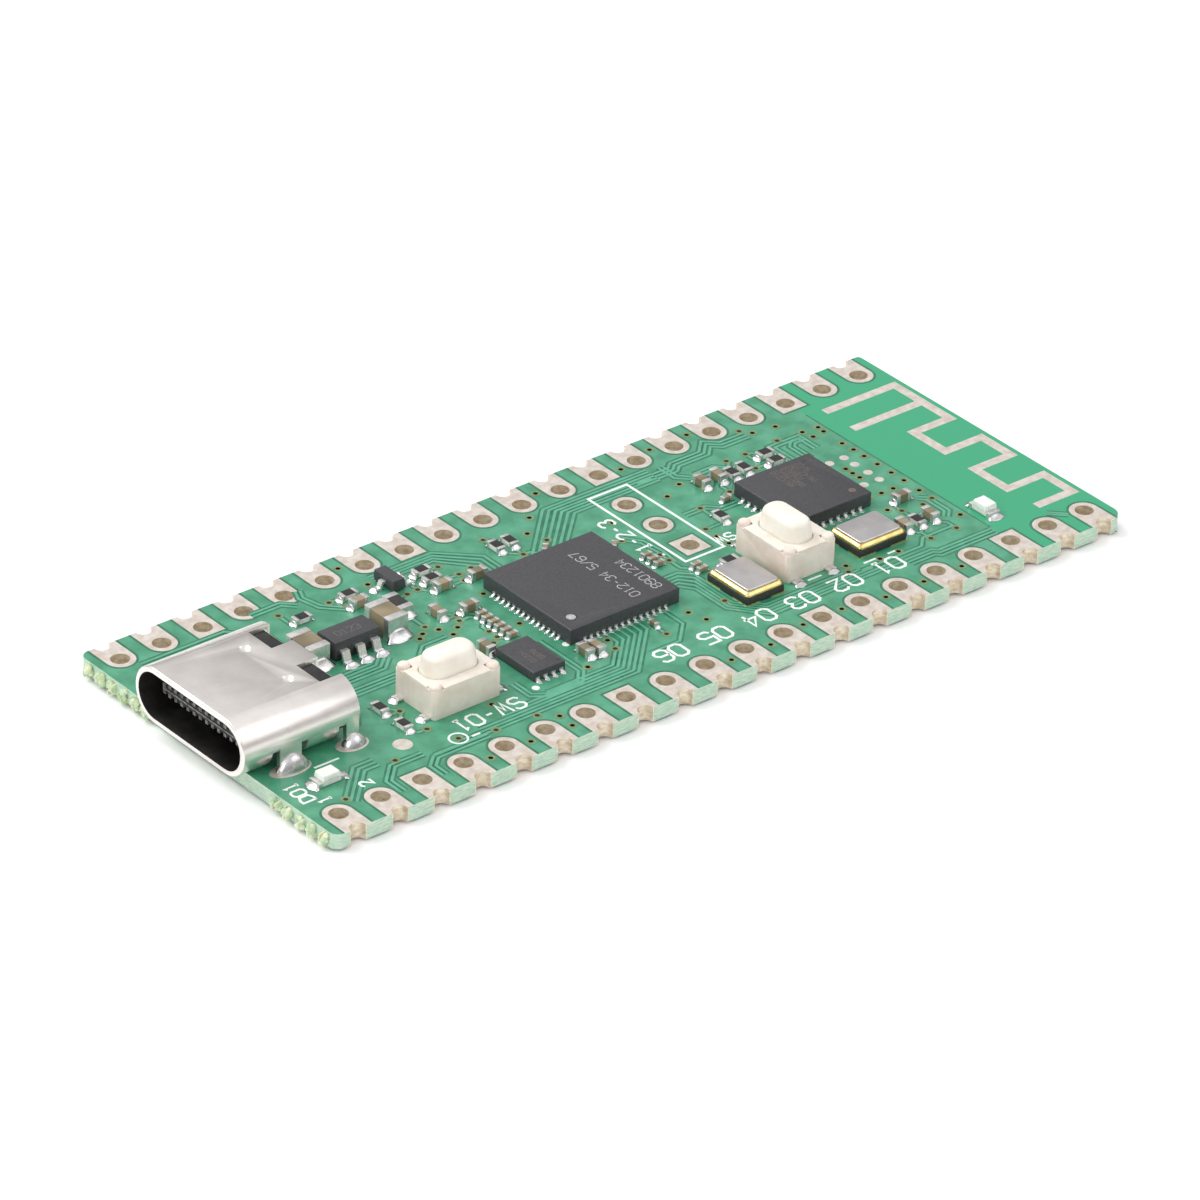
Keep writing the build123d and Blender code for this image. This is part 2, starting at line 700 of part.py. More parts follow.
small_capacitor_blocks, small_capacitor_caps = capped_chips(small_capacitor_places, (1.0, 0.5, 0.5), 0.25)
finish(small_capacitor_blocks, "small_capacitor_blocks")
finish(small_capacitor_caps, "small_capacitor_caps")

tiny_capacitor_blocks, tiny_capacitor_caps = capped_chips(tiny_capacitor_places, (0.6, 0.3, 0.3), 0.15)
finish(tiny_capacitor_blocks, "tiny_capacitor_blocks")
finish(tiny_capacitor_caps, "tiny_capacitor_caps")

inductor_block, inductor_caps = capped_chips(inductor_places, (1.6, 0.8, 0.6), 0.35)
finish(inductor_block, "inductor_block")
finish(inductor_caps, "inductor_caps")

resistor_blocks, resistor_caps = capped_chips(resistor_places, resistor_size, resistor_cap_length)
finish(resistor_blocks, "resistor_blocks")
finish(resistor_caps, "resistor_caps")

with BuildPart() as resistor_glazes:
    for resistor_place in resistor_places:
        with BuildSketch(seat(resistor_place, touch_gap + resistor_size[2] - glaze_bury)):
            Rectangle(resistor_size[0] - 2 * resistor_cap_length, resistor_size[1])
        extrude(amount=glaze_thickness)
finish(resistor_glazes, "resistor_glazes")


# ---------------------------------------------------------------- light-emitting diodes
def led_pieces(place, name):
    """A small lamp: its base, the metal ends and the clear moulded lens."""
    length, width, base_height, lens_height = 1.6, 0.8, 0.27, 0.33
    base, ends = capped_chips([place], (length, width, base_height), 0.25)
    finish(base, f"{name}_base")
    finish(ends, f"{name}_ends")
    with BuildPart() as lens:
        with BuildSketch(seat(place, touch_gap + base_height)):
            Rectangle(length - lens_shortening, width)
        extrude(amount=lens_height, taper=lens_taper)
        fillet(lens.faces().sort_by(Axis.Z)[-1].edges(), lens_rounding)
    finish(lens, f"{name}_lens")


led_pieces((-board_length / 2 + usb_led_setback, usb_led_y, 0), "usb_led")
led_pieces((board_length / 2 - status_led_setback, status_led_y, 90), "status_led")
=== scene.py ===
import json
import math
import random

import bmesh
import bpy
from mathutils import Matrix, Vector

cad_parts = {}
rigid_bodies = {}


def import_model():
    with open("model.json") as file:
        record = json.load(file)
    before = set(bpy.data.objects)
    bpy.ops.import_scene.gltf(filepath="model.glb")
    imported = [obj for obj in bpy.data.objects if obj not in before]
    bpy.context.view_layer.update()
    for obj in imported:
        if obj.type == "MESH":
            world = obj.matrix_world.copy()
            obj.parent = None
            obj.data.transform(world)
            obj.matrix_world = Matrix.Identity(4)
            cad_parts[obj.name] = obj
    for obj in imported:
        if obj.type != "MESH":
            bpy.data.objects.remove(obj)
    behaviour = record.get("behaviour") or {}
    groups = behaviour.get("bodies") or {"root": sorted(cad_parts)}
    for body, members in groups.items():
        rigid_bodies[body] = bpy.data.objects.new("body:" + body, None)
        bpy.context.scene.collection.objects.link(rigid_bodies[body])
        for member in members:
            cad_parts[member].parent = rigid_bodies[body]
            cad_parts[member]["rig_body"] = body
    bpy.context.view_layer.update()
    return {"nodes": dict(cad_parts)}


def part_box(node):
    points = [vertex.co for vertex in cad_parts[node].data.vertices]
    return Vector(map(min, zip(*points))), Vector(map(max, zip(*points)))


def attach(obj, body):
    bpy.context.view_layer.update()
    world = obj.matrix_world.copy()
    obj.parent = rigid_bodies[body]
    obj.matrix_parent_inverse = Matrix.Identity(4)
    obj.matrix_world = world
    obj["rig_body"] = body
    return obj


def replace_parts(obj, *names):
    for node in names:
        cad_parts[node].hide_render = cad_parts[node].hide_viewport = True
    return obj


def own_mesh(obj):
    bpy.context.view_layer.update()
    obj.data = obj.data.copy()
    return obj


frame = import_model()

# Lengths below are millimetres in the row frame, turned into metres when a mesh is made.
MM = 0.001
WELD = 2e-6
dice = random.Random(51)

# -------- places read from the CAD frame
board_low, board_high = (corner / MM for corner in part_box("circuit_board"))
top = board_high.z
half_length = (board_high.x - board_low.x) / 2
half_width = (board_high.y - board_low.y) / 2
pitch = 2.54
pin_count = 20
row_inset = 1.56
row_y = half_width - row_inset
pad_half_width = 0.8
square_pins = range(2, pin_count, 5)
pin_x = [(pin - (pin_count - 1) / 2) * pitch for pin in range(pin_count)]
antenna_zone = 6.4
pour_end = half_length - antenna_zone
layer = 0.004
debug_x = 5.6
debug_round_y = (3.11, 5.65)
debug_pad_radius = 0.79


# -------- mesh helpers
class Shape:
    """Closed solids gathered into one mesh, in millimetres."""

    def __init__(self):
        self.points = []
        self.faces = []

    def add(self, points, faces):
        first = len(self.points)
        self.points += [tuple(point) for point in points]
        self.faces += [[first + corner for corner in face] for face in faces]

    def prism(self, outline, low, high):
        """An outline in plan, from height low to height high."""
        count = len(outline)
        points = [(x, y, low) for x, y in outline] + [(x, y, high) for x, y in outline]
        sides = [[i, (i + 1) % count, count + (i + 1) % count, count + i] for i in range(count)]
        self.add(points, sides + [list(reversed(range(count))), list(range(count, 2 * count))])

    def box(self, low, high):
        outline = [(low[0], low[1]), (high[0], low[1]), (high[0], high[1]), (low[0], high[1])]
        self.prism(outline, low[2], high[2])

    def disc(self, centre, radius, low, high, corners=20):
        self.prism(circle(centre, radius, corners), low, high)

    def ring(self, centre, inner, outer, low, high, corners=24):
        """A flat washer."""
        rings = [(inner, low), (outer, low), (outer, high), (inner, high)]
        self.lathe(centre, rings, corners, closed=True)

    def lathe(self, centre, profile, corners=24, closed=False):
        """A profile of (radius, height) points turned about a vertical axis."""
        points = []
        for radius, height in profile:
            points += [(x, y, height) for x, y in circle(centre, radius, corners)]
        rows = len(profile)
        faces = wrapped(rows, corners, closed)
        if not closed:
            faces.append(list(reversed(range(corners))))
            faces.append(list(range((rows - 1) * corners, rows * corners)))
        self.add(points, faces)

    def strip(self, sides, low, high, closed):
        """A flat strip between two routes in plan, from height low to height high."""
        count = len(sides[0])
        up = 2 * count
        points = [(x, y, z) for z in (low, high) for side in sides for x, y in side]
        faces = []
        for a in range(count if closed else count - 1):
            b = (a + 1) % count
            c, d = count + a, count + b
            faces += [[a, b, d, c], [up + a, up + c, up + d, up + b]]
            faces += [[a, up + a, up + b, b], [c, d, up + d, up + c]]
        if not closed:
            faces.append([0, count, up + count, up])
            faces.append([count - 1, up + count - 1, up + up - 1, up - 1])
        self.add(points, faces)

    def loop(self, route, width, low, high):
        """A strip of even width round a closed route."""
        self.strip([offset_route(route, side * width / 2, True) for side in (-1, 1)], low, high, True)

    def ribbon(self, route, width, low, high):
        """A strip of even width along an open route."""
        self.strip([offset_route(route, side * width / 2) for side in (1, -1)], low, high, False)

    def pool(self, centre, reach_x, reach_y, rise, low, fullness, corners=32, rows=7):
        """A blob of solder on an oval footprint. A fullness of 0.5 is a dome, and more is a pointed heap."""
        points = []
        for row in range(rows + 1):
            share = math.cos(0.5 * math.pi * row / (rows + 0.5))
            height = low + rise * (1 - share**2) ** fullness
            for corner in range(corners):
                turn = 2 * math.pi * corner / corners
                x = centre[0] + reach_x * share * math.cos(turn)
                y = centre[1] + reach_y * share * math.sin(turn)
                points.append((x, y, height))
        caps = [list(range(corners)), list(range(rows * corners, (rows + 1) * corners))]
        self.add(points, caps + wrapped(rows + 1, corners))

    def mound(self, base, out, reach, width, rise, low, hollow=1.8):
        """A solder fillet, tallest against a wall at base and falling in a hollow curve along out."""
        across = Vector((-out.y, out.x))
        rows, columns = 7, 7
        crest, foot = [], []
        for row in range(rows):
            along = row / (rows - 1)
            spread = 1 + 0.22 * math.sin(math.pi * min(1, along * 1.15))
            for column in range(columns):
                side = 2 * column / (columns - 1) - 1
                rounded = math.sqrt(max(0.0, 1 - (along * 0.9) ** 4 * side**2))
                place = base + out * reach * along * rounded + across * width / 2 * side * spread
                height = rise * (1 - along) ** hollow * (1 - 0.75 * abs(side) ** 3)
                crest.append((place.x, place.y, low + 0.012 + height * 0.98))
                foot.append((place.x, place.y, low))
        faces = []
        size = rows * columns
        for row in range(rows - 1):
            for column in range(columns - 1):
                a = row * columns + column
                b, c, d = a + 1, a + columns + 1, a + columns
                faces += [[a, b, c, d], [size + a, size + d, size + c, size + b]]
        border = list(range(columns)) + [row * columns + columns - 1 for row in range(1, rows)]
        border += [size - 1 - step for step in range(1, columns)]
        border += [row * columns for row in range(rows - 2, 0, -1)]
        for a, b in zip(border, border[1:] + border[:1]):
            faces.append([a, size + a, size + b, b])
        self.add(crest + foot, faces)

    def lump(self, centre, radii, rough):
        """An uneven ball of eight sides."""
        around, rings = 8, 5
        points = [(centre[0], centre[1], centre[2] - radii[2]), (centre[0], centre[1], centre[2] + radii[2])]
        for ring in range(1, rings):
            tilt = math.pi * ring / rings
            for step in range(around):
                turn = math.tau * step / around
                swell = rough.uniform(0.82, 1.0)
                points.append((
                    centre[0] + swell * radii[0] * math.sin(tilt) * math.cos(turn),
                    centre[1] + swell * radii[1] * math.sin(tilt) * math.sin(turn),
                    centre[2] - swell * radii[2] * math.cos(tilt),
                ))
        faces = []
        for step in range(around):
            after = (step + 1) % around
            faces.append([0, 2 + after, 2 + step])
            last = 2 + (rings - 2) * around
            faces.append([1, last + step, last + after])
            for ring in range(rings - 2):
                low = 2 + ring * around
                faces.append([low + step, low + after, low + around + after, low + around + step])
        self.add(points, faces)


def wrapped(rows, corners, closed=False):
    """The faces between rings of corners, the last ring joined to the first where closed."""
    faces = []
    for row in range(rows if closed else rows - 1):
        below, above = row * corners, (row + 1) % rows * corners
        for i in range(corners):
            j = (i + 1) % corners
            faces.append([below + i, below + j, above + j, above + i])
    return faces


def circle(centre, radius, corners):
    turns = [2 * math.pi * corner / corners for corner in range(corners)]
    return [(centre[0] + radius * math.cos(turn), centre[1] + radius * math.sin(turn)) for turn in turns]


def offset_route(route, distance, closed=False):
    """A route moved sideways, its corners mitred."""
    route = [Vector(point) for point in route]
    moved = []
    for i, point in enumerate(route):
        before = (point - route[i - 1]).normalized() if i or closed else None
        after = (route[(i + 1) % len(route)] - point).normalized() if closed or i + 1 < len(route) else None
        before, after = before or after, after or before
        normal = Vector((-before.y - after.y, before.x + after.x))
        normal = normal.normalized() if normal.length > 0.2 else Vector((-before.y, before.x))
        stretch = max(0.6, normal.dot(Vector((-before.y, before.x))))
        moved.append(tuple(point + normal * distance / stretch))
    return moved


def placed(name, data):
    """An object made from a mesh, a lamp or a camera, linked to the scene."""
    made = bpy.data.objects.new(name, data)
    bpy.context.scene.collection.objects.link(made)
    return made


def piece(name, shape, material, body="board", smooth=False):
    """A mesh object made from a Shape, riding on a body."""
    mesh = bpy.data.meshes.new(name)
    mesh.from_pydata([Vector(point) * MM for point in shape.points], [], shape.faces)
    solid = bmesh.new()
    solid.from_mesh(mesh)
    bmesh.ops.recalc_face_normals(solid, faces=solid.faces)
    solid.to_mesh(mesh)
    solid.free()
    made = placed(name, mesh)
    mesh.materials.append(material)
    if smooth:
        mesh.shade_smooth()
    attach(made, body)
    return made


def welded(node):
    """A CAD node's mesh with its split corners joined, as a bmesh."""
    solid = bmesh.new()
    solid.from_mesh(frame["nodes"][node].data)
    bmesh.ops.remove_doubles(solid, verts=solid.verts, dist=WELD)
    return solid


def islands(node):
    """The corner places of each separate solid in a CAD node, in millimetres."""
    solid = welded(node)
    groups = []
    for start in solid.verts:
        if start.tag:
            continue
        start.tag = True
        stack, group = [start], []
        while stack:
            corner = stack.pop()
            group.append(corner.co / MM)
            for edge in corner.link_edges:
                other = edge.other_vert(corner)
                if not other.tag:
                    other.tag = True
                    stack.append(other)
        groups.append(group)
    solid.free()
    return groups


def span(group):
    """Lowest and highest corner of a group of places."""
    low = Vector([min(point[axis] for point in group) for axis in range(3)])
    high = Vector([max(point[axis] for point in group) for axis in range(3)])
    return low, high


def middle(group):
    low, high = span(group)
    return (low + high) / 2


def body_of(node):
    return frame["nodes"][node]["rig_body"]


def softened(node, width, material, segments=2, angle=35):
    """A copy of a CAD node with its sharp edges rounded over, shown in its place."""
    solid = welded(node)
    bmesh.ops.dissolve_limit(solid, angle_limit=math.radians(1), verts=solid.verts, edges=solid.edges)
    mesh = bpy.data.meshes.new(node + "_finished")
    solid.to_mesh(mesh)
    solid.free()
    mesh.materials.clear()
    mesh.materials.append(material)
    for polygon in mesh.polygons:
        polygon.material_index = 0
    mesh.shade_smooth()
    made = placed(node + "_finished", mesh)
    rounding = made.modifiers.new("rounded edges", "BEVEL")
    rounding.width = width * MM
    rounding.segments = segments
    rounding.limit_method = "ANGLE"
    rounding.angle_limit = math.radians(angle)
    rounding.harden_normals = True
    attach(made, body_of(node))
    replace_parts(made, node)
    return made


def paint(node, material, side_material=None):
    """Gives a CAD node its finish, and its upright faces another where one is named."""
    mesh = frame["nodes"][node].data
    mesh.materials.clear()
    mesh.materials.append(material)
    if side_material:
        mesh.materials.append(side_material)
    for polygon in mesh.polygons:
        upright = side_material is not None and abs(polygon.normal.z) < 0.5
        polygon.material_index = 1 if upright else 0


# -------- materials
def colour(red, green, blue):
    """An sRGB colour, 0 to 255, as linear light."""
    parts = [part / 255 for part in (red, green, blue)]
    linear = [part / 12.92 if part <= 0.04045 else ((part + 0.055) / 1.055) ** 2.4 for part in parts]
    return (*linear, 1.0)


def set_inputs(node, **values):
    """Gives a node's inputs their values, an underline in a name standing for a space."""
    for name, value in values.items():
        node.inputs[name.replace("_", " ")].default_value = value


class Finish:
    """A procedural material: noise between two tones, uneven gloss and a fine relief."""

    def __init__(self, name, tones, roughness, metallic=0.0):
        self.material = bpy.data.materials.new(name)
        self.material.use_nodes = True
        self.tree = self.material.node_tree
        self.shader = self.tree.nodes["Principled BSDF"]
        set_inputs(self.shader, Metallic=metallic)
        place = self.node("TexCoord")
        scale = self.node("Mapping", Scale=(1 / MM,) * 3)
        self.link(place.outputs["Object"], scale.inputs["Vector"])
        self.place = scale.outputs["Vector"]
        self.tint = self.node("Mix")
        self.tint.data_type = "RGBA"
        self.tint.inputs[6].default_value = colour(*tones[0])
        self.tint.inputs[7].default_value = colour(*tones[1])
        self.link(self.tint.outputs[2], self.shader.inputs["Base Color"])
        self.rough = self.node("MapRange", To_Min=roughness[0], To_Max=roughness[1])
        self.link(self.rough.outputs[0], self.shader.inputs["Roughness"])
        self.relief = None

    def node(self, kind, **values):
        made = self.tree.nodes.new("ShaderNode" + kind)
        set_inputs(made, **values)
        return made

    def link(self, source, target):
        self.tree.links.new(source, target)

    def noise(self, scale, detail=4.0, stretch=None):
        """A noise with that many grains to the millimetre."""
        node = self.node("TexNoise", Scale=scale, Detail=detail)
        source = self.place
        if stretch:
            turn = self.node("Mapping", Scale=stretch)
            self.link(source, turn.inputs["Vector"])
            source = turn.outputs["Vector"]
        self.link(source, node.inputs["Vector"])
        return node.outputs["Fac"]

    def spread(self, source, low, high):
        """0 where the source is at low or under and 1 where it is at high or over."""
        node = self.node("MapRange", From_Min=low, From_Max=high)
        self.link(source, node.inputs["Value"])
        return node.outputs[0]

    def mottle(self, scale, detail=4.0, stretch=None, low=0.35, high=0.65):
        """Noise between the two tones."""
        self.link(self.spread(self.noise(scale, detail, stretch), low, high), self.tint.inputs[0])
        return self

    def polish(self, scale, stretch=None):
        """Noise between the two roughnesses."""
        self.link(self.noise(scale, 3.0, stretch), self.rough.inputs["Value"])
        return self

    def grain(self, scale, depth, stretch=None, detail=3.0):
        """Relief of that depth in millimetres."""
        bump = self.node("Bump", Distance=depth * MM, Strength=1.0)
        self.link(self.noise(scale, detail, stretch), bump.inputs["Height"])
        if self.relief:
            self.link(self.relief, bump.inputs["Normal"])
        self.relief = bump.outputs["Normal"]
        self.link(self.relief, self.shader.inputs["Normal"])
        return self

    def overlay(self, tone, factor):
        """Another tone laid over the first where factor is high."""
        mix = self.node("Mix")
        mix.data_type = "RGBA"
        mix.inputs[7].default_value = colour(*tone)
        self.link(factor, mix.inputs[0])
        base = self.shader.inputs["Base Color"].links[0].from_socket
        self.link(base, mix.inputs[6])
        self.link(mix.outputs[2], self.shader.inputs["Base Color"])
        return self

    def above(self, axis, limit, softness):
        """0 below a place along an axis and 1 above it, in millimetres."""
        parts = self.node("SeparateXYZ")
        self.link(self.place, parts.inputs[0])
        return self.spread(parts.outputs[axis], limit - softness / 2, limit + softness / 2)

    def gloss(self, **values):
        """Values of the shader that are the same all over the surface."""
        set_inputs(self.shader, **values)
        return self


mask = Finish("solder_mask", ((54, 136, 102), (80, 160, 126)), (0.3, 0.42))
mask.mottle(0.9, 6.0).polish(2.5).grain(3.0, 0.004)
mask.overlay((44, 160, 116), mask.above(0, pour_end, 0.05))
mask_finish = mask.gloss(Coat_Weight=0.25, Coat_Roughness=0.25).material
gap_finish = (
    Finish("mask_gap", ((26, 98, 70), (44, 120, 90)), (0.35, 0.45))
    .mottle(2.0).polish(3.0).grain(6.0, 0.002).gloss(Coat_Weight=0.2).material
)
track_finish = (
    Finish("mask_track", ((90, 172, 140), (76, 158, 126)), (0.3, 0.4))
    .mottle(1.5).polish(3.0).grain(4.0, 0.003).gloss(Coat_Weight=0.3).material
)
edge_finish = (
    Finish("laminate_edge", ((168, 202, 180), (206, 224, 204)), (0.55, 0.75))
    .mottle(3.0, 5.0, (1, 1, 6)).polish(4.0).grain(5.0, 0.02, (1, 1, 8))
    .gloss(Subsurface_Weight=0.2, Subsurface_Scale=0.0005).material
)
torn_finish = (
    Finish("torn_laminate", ((176, 200, 156), (228, 230, 200)), (0.5, 0.75))
    .mottle(2.5, 4.0).grain(7.0, 0.02).gloss(Subsurface_Weight=0.3, Subsurface_Scale=0.0004).material
)
pad_finish = (
    Finish("pad_tin", ((214, 201, 191), (232, 224, 216)), (0.42, 0.6), 0.6)
    .mottle(2.2, 6.0).polish(4.0).grain(7.0, 0.006).material
)
hole_finish = (
    Finish("hole_wall", ((206, 190, 162), (238, 228, 210)), (0.22, 0.42), 0.6)
    .mottle(3.0, 5.0, (1, 1, 1.6)).polish(4.0).grain(5.0, 0.02, (0.5, 0.5, 2.6)).material
)
shell_finish = (
    Finish("connector_metal", ((238, 232, 227), (250, 245, 241)), (0.24, 0.36), 1.0)
    .mottle(0.7, 5.0).polish(1.6, (1, 5, 5)).grain(1.1, 0.004).grain(14.0, 0.0004, (1, 8, 8))
    .material
)
# Painted shade: a dark metal for the inner faces of the USB shell, standing in for the shadow inside its
# mouth.
shell_inside_painted_shade = (
    Finish("shaded_metal", ((30, 29, 28), (46, 44, 42)), (0.4, 0.55), 0.6)
    .mottle(1.5).polish(2.0).grain(6.0, 0.002).material
)
solder_finish = (
    Finish("solder", ((205, 204, 206), (228, 227, 228)), (0.16, 0.32), 1.0)
    .mottle(3.0).polish(5.0).grain(5.0, 0.006).material
)
lead_finish = (
    Finish("lead_tin", ((228, 227, 228), (246, 245, 246)), (0.2, 0.34), 0.7)
    .mottle(3.0).polish(5.0).grain(5.0, 0.008).material
)
cap_finish = (
    Finish("cap_tin", ((212, 210, 209), (236, 234, 232)), (0.22, 0.4), 0.9)
    .mottle(4.0).polish(7.0).grain(9.0, 0.008).material
)
contact_finish = (
    Finish("contact_metal", ((222, 212, 190), (238, 230, 212)), (0.22, 0.3), 1.0)
    .mottle(3.0).polish(5.0).grain(8.0, 0.002).material
)
tip_finish = (
    Finish("contact_tips", ((78, 77, 76), (138, 136, 132)), (0.3, 0.45), 0.4)
    .mottle(6.0).polish(5.0).grain(9.0, 0.004).material
)
gold_finish = (
    Finish("crystal_gold", ((226, 194, 120), (244, 220, 156)), (0.2, 0.32), 1.0)
    .mottle(2.5).polish(4.0).grain(6.0, 0.004).material
)
lid_finish = (
    Finish("crystal_lid", ((200, 196, 198), (216, 212, 212)), (0.24, 0.36), 1.0)
    .mottle(1.0).polish(1.2, (1, 6, 1)).grain(10.0, 0.002, (1, 12, 1)).material
)
resin_finish = (
    Finish("package_resin", ((56, 56, 60), (68, 68, 72)), (0.42, 0.56))
    .mottle(9.0, 6.0).polish(6.0).grain(16.0, 0.006, detail=5.0).gloss(Specular_IOR_Level=0.62)
    .material
)
connector_resin_finish = (
    Finish("connector_resin", ((14, 14, 15), (26, 26, 27)), (0.35, 0.5))
    .mottle(4.0).polish(5.0).grain(12.0, 0.004).material
)
dark_ceramic_finish = (
    Finish("dark_ceramic", ((40, 38, 38), (56, 54, 52)), (0.5, 0.65))
    .mottle(6.0).polish(6.0).grain(14.0, 0.006).material
)
ivory_finish = (
    Finish("ivory_resin", ((232, 216, 204), (244, 232, 222)), (0.42, 0.58))
    .mottle(1.2, 6.0).polish(4.0).grain(8.0, 0.008).grain(1.2, 0.01)
    .gloss(Subsurface_Weight=0.15, Subsurface_Scale=0.0006).material
)
cover_finish = (
    Finish("cover_resin", ((232, 222, 208), (242, 236, 226)), (0.35, 0.5))
    .mottle(1.6, 5.0).polish(4.0).grain(7.0, 0.006).material
)
button_finish = (
    Finish("button_resin", ((238, 232, 219), (246, 242, 232)), (0.32, 0.48))
    .mottle(1.0, 5.0).polish(3.0).grain(5.0, 0.008)
    .gloss(Subsurface_Weight=0.2, Subsurface_Scale=0.0006).material
)
tan_finish = (
    Finish("capacitor_ceramic", ((114, 104, 80), (156, 140, 114)), (0.36, 0.5))
    .mottle(0.35, 2.0, low=0.42, high=0.58).polish(6.0).grain(12.0, 0.01).material
)
white_ceramic_finish = (
    Finish("resistor_ceramic", ((222, 220, 214), (236, 235, 230)), (0.5, 0.65))
    .mottle(6.0).grain(12.0, 0.006).material
)
glaze_finish = (
    Finish("black_glaze", ((18, 18, 20), (32, 32, 34)), (0.28, 0.4))
    .mottle(5.0).polish(6.0).grain(8.0, 0.006).material
)
quartz_finish = (
    Finish("quartz", ((196, 198, 200), (214, 216, 218)), (0.1, 0.2))
    .mottle(2.0).grain(4.0, 0.001).material
)
lamp_finish = (
    Finish("lamp_resin", ((236, 238, 228), (248, 249, 242)), (0.14, 0.24))
    .mottle(2.0).polish(3.0).grain(4.0, 0.004)
    .gloss(Subsurface_Weight=0.4, Subsurface_Scale=0.0006).material
)
ink_finish = (
    Finish("silk_ink", ((226, 236, 230), (246, 250, 247)), (0.5, 0.65))
    .mottle(5.0, 5.0).grain(9.0, 0.004).material
)
mark_finish = (
    Finish("laser_mark", ((162, 160, 160), (190, 188, 186)), (0.55, 0.7))
    .mottle(7.0, 5.0).grain(14.0, 0.003).material
)
faint_finish = (
    Finish("faint_mark", ((98, 90, 84), (116, 106, 96)), (0.55, 0.7))
    .mottle(6.0, 5.0).grain(14.0, 0.003).material
)
via_finish = (
    Finish("via_tin", ((112, 138, 96), (136, 156, 112)), (0.35, 0.5), 0.3)
    .mottle(4.0).polish(5.0).grain(7.0, 0.003).material
)
# Painted shade: the near-black of the via holes' depth, used on their walls, on discs deep inside them and on
# discs over their mouths.
via_hole_painted_shade = (
    Finish("via_wall", ((24, 30, 20), (46, 48, 34)), (0.5, 0.6), 0.2)
    .mottle(5.0).grain(9.0, 0.004).material
)

# -------- bare board with its via holes
via_hole_radius = 0.13
via_ring_radius = 0.27
via_corners = 12
ring_corners = 16
via_places = [
    (-15.4, 7.5), (-12.6, 7.0), (-12.1, 6.1), (-10.2, 9.4), (-9.95, 7.25), (-8.95, 5.3), (-8.25, 5.35),
    (-10.2, 2.25), (-10.7, 1.8), (-11.1, 1.5), (-9.8, 1.65), (-9.5, 0.85), (-8.9, 1.25), (-8.45, 1.7),
    (-8.2, 2.2), (-19.05, -6.75), (-23.1, -8.1), (-15.35, -7.0), (-16.05, -5.4), (-12.1, -5.5),
    (-13.4, -7.5), (-10.95, -7.65), (-10.1, -8.35), (-15.2, -9.35), (-12.7, -9.35), (-10.15, -9.4),
    (-16.1, -3.3), (-8.4, -1.0), (-6.05, 6.5), (-5.65, 5.3), (-5.1, 5.05), (-4.75, 5.45), (-5.8, 4.65),
    (-5.85, 3.05), (-2.55, 7.25), (-1.8, 4.9), (0.05, 5.3), (-0.35, 6.4), (0.75, 7.6), (2.55, 9.35),
    (7.65, 8.65), (9.1, 5.65), (7.8, 5.05), (8.4, 3.1), (7.25, 1.3), (7.25, 0.4), (7.3, -0.5),
    (3.05, 2.95), (3.85, 4.65), (3.75, 0.7), (3.75, 0.0), (-6.2, -0.3), (-7.9, 0.0), (-7.9, -0.65),
    (-3.7, -4.2), (-3.9, -5.05), (-4.65, -5.25), (-6.1, -5.6), (-0.95, -5.5), (1.25, -4.55),
    (1.55, -5.6), (3.45, -4.75), (5.1, -8.9), (7.65, -8.9), (0.05, -9.35), (2.55, -9.4), (9.85, 4.55),
    (10.7, 3.5), (10.15, 9.35), (12.7, 9.4), (15.15, 8.05), (15.6, 7.5), (17.0, 7.3), (12.6, 6.05),
    (13.85, 6.0), (16.1, 6.1), (17.75, 6.0), (17.9, 5.3), (18.75, 5.9), (18.7, 5.4), (18.65, 3.85),
    (18.7, 3.0), (18.7, 2.15), (18.7, 1.1), (18.7, 0.0), (18.7, -1.0), (18.65, -2.25), (18.65, -3.25),
    (17.05, 1.7), (17.05, 1.15), (17.05, 0.6), (13.35, 4.55), (16.9, -1.3), (17.7, -1.3), (17.3, -1.8),
    (16.0, -2.8), (16.55, -3.3), (17.85, -3.45), (18.7, -5.4), (10.6, -5.8), (10.3, -6.35),
    (12.45, -6.3), (13.7, -6.3), (15.9, -6.3), (17.65, -6.3), (10.2, -9.35), (12.75, -9.35),
    (15.3, -9.35), (16.1, -1.2),
]


def drilled_board():
    """The laminate with real via holes, its faces split between mask, edge and painted shade on the hole
    walls.
    """
    overshoot = 0.3
    drills = Shape()
    for place in via_places:
        drills.disc(place, via_hole_radius, -overshoot, top + overshoot, via_corners)
    cutter = piece("via_drills", drills, via_hole_painted_shade)
    solid = welded("circuit_board")
    mesh = bpy.data.meshes.new("laminate_panel")
    solid.to_mesh(mesh)
    solid.free()
    mesh.materials.clear()
    board = placed("laminate_panel", mesh)
    cut = board.modifiers.new("via holes", "BOOLEAN")
    cut.operation = "DIFFERENCE"
    cut.solver = "EXACT"
    cut.object = cutter
    bpy.context.view_layer.update()
    graph = bpy.context.evaluated_depsgraph_get()
    drilled = bpy.data.meshes.new_from_object(board.evaluated_get(graph))
    board.modifiers.clear()
    board.data = drilled
    bpy.data.objects.remove(cutter)
    drilled.materials.clear()
    for finish in (mask_finish, edge_finish, via_hole_painted_shade):
        drilled.materials.append(finish)
    for polygon in drilled.polygons:
        x, y = polygon.center.x / MM, polygon.center.y / MM
        flat = abs(polygon.normal.z) > 0.5
        in_via = any(math.hypot(x - vx, y - vy) < via_hole_radius + 0.01 for vx, vy in via_places)
        polygon.material_index = 0 if flat else 2 if in_via else 1
    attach(board, "board")
    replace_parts(board, "circuit_board")


drilled_board()

rings = Shape()
for via in via_places:
    rings.ring(via, via_hole_radius, via_ring_radius, top, top + 2.2 * layer, ring_corners)
    rings.ring(via, via_hole_radius, via_ring_radius, -2 * layer, 0, ring_corners)
piece("via_rings", rings, via_finish)
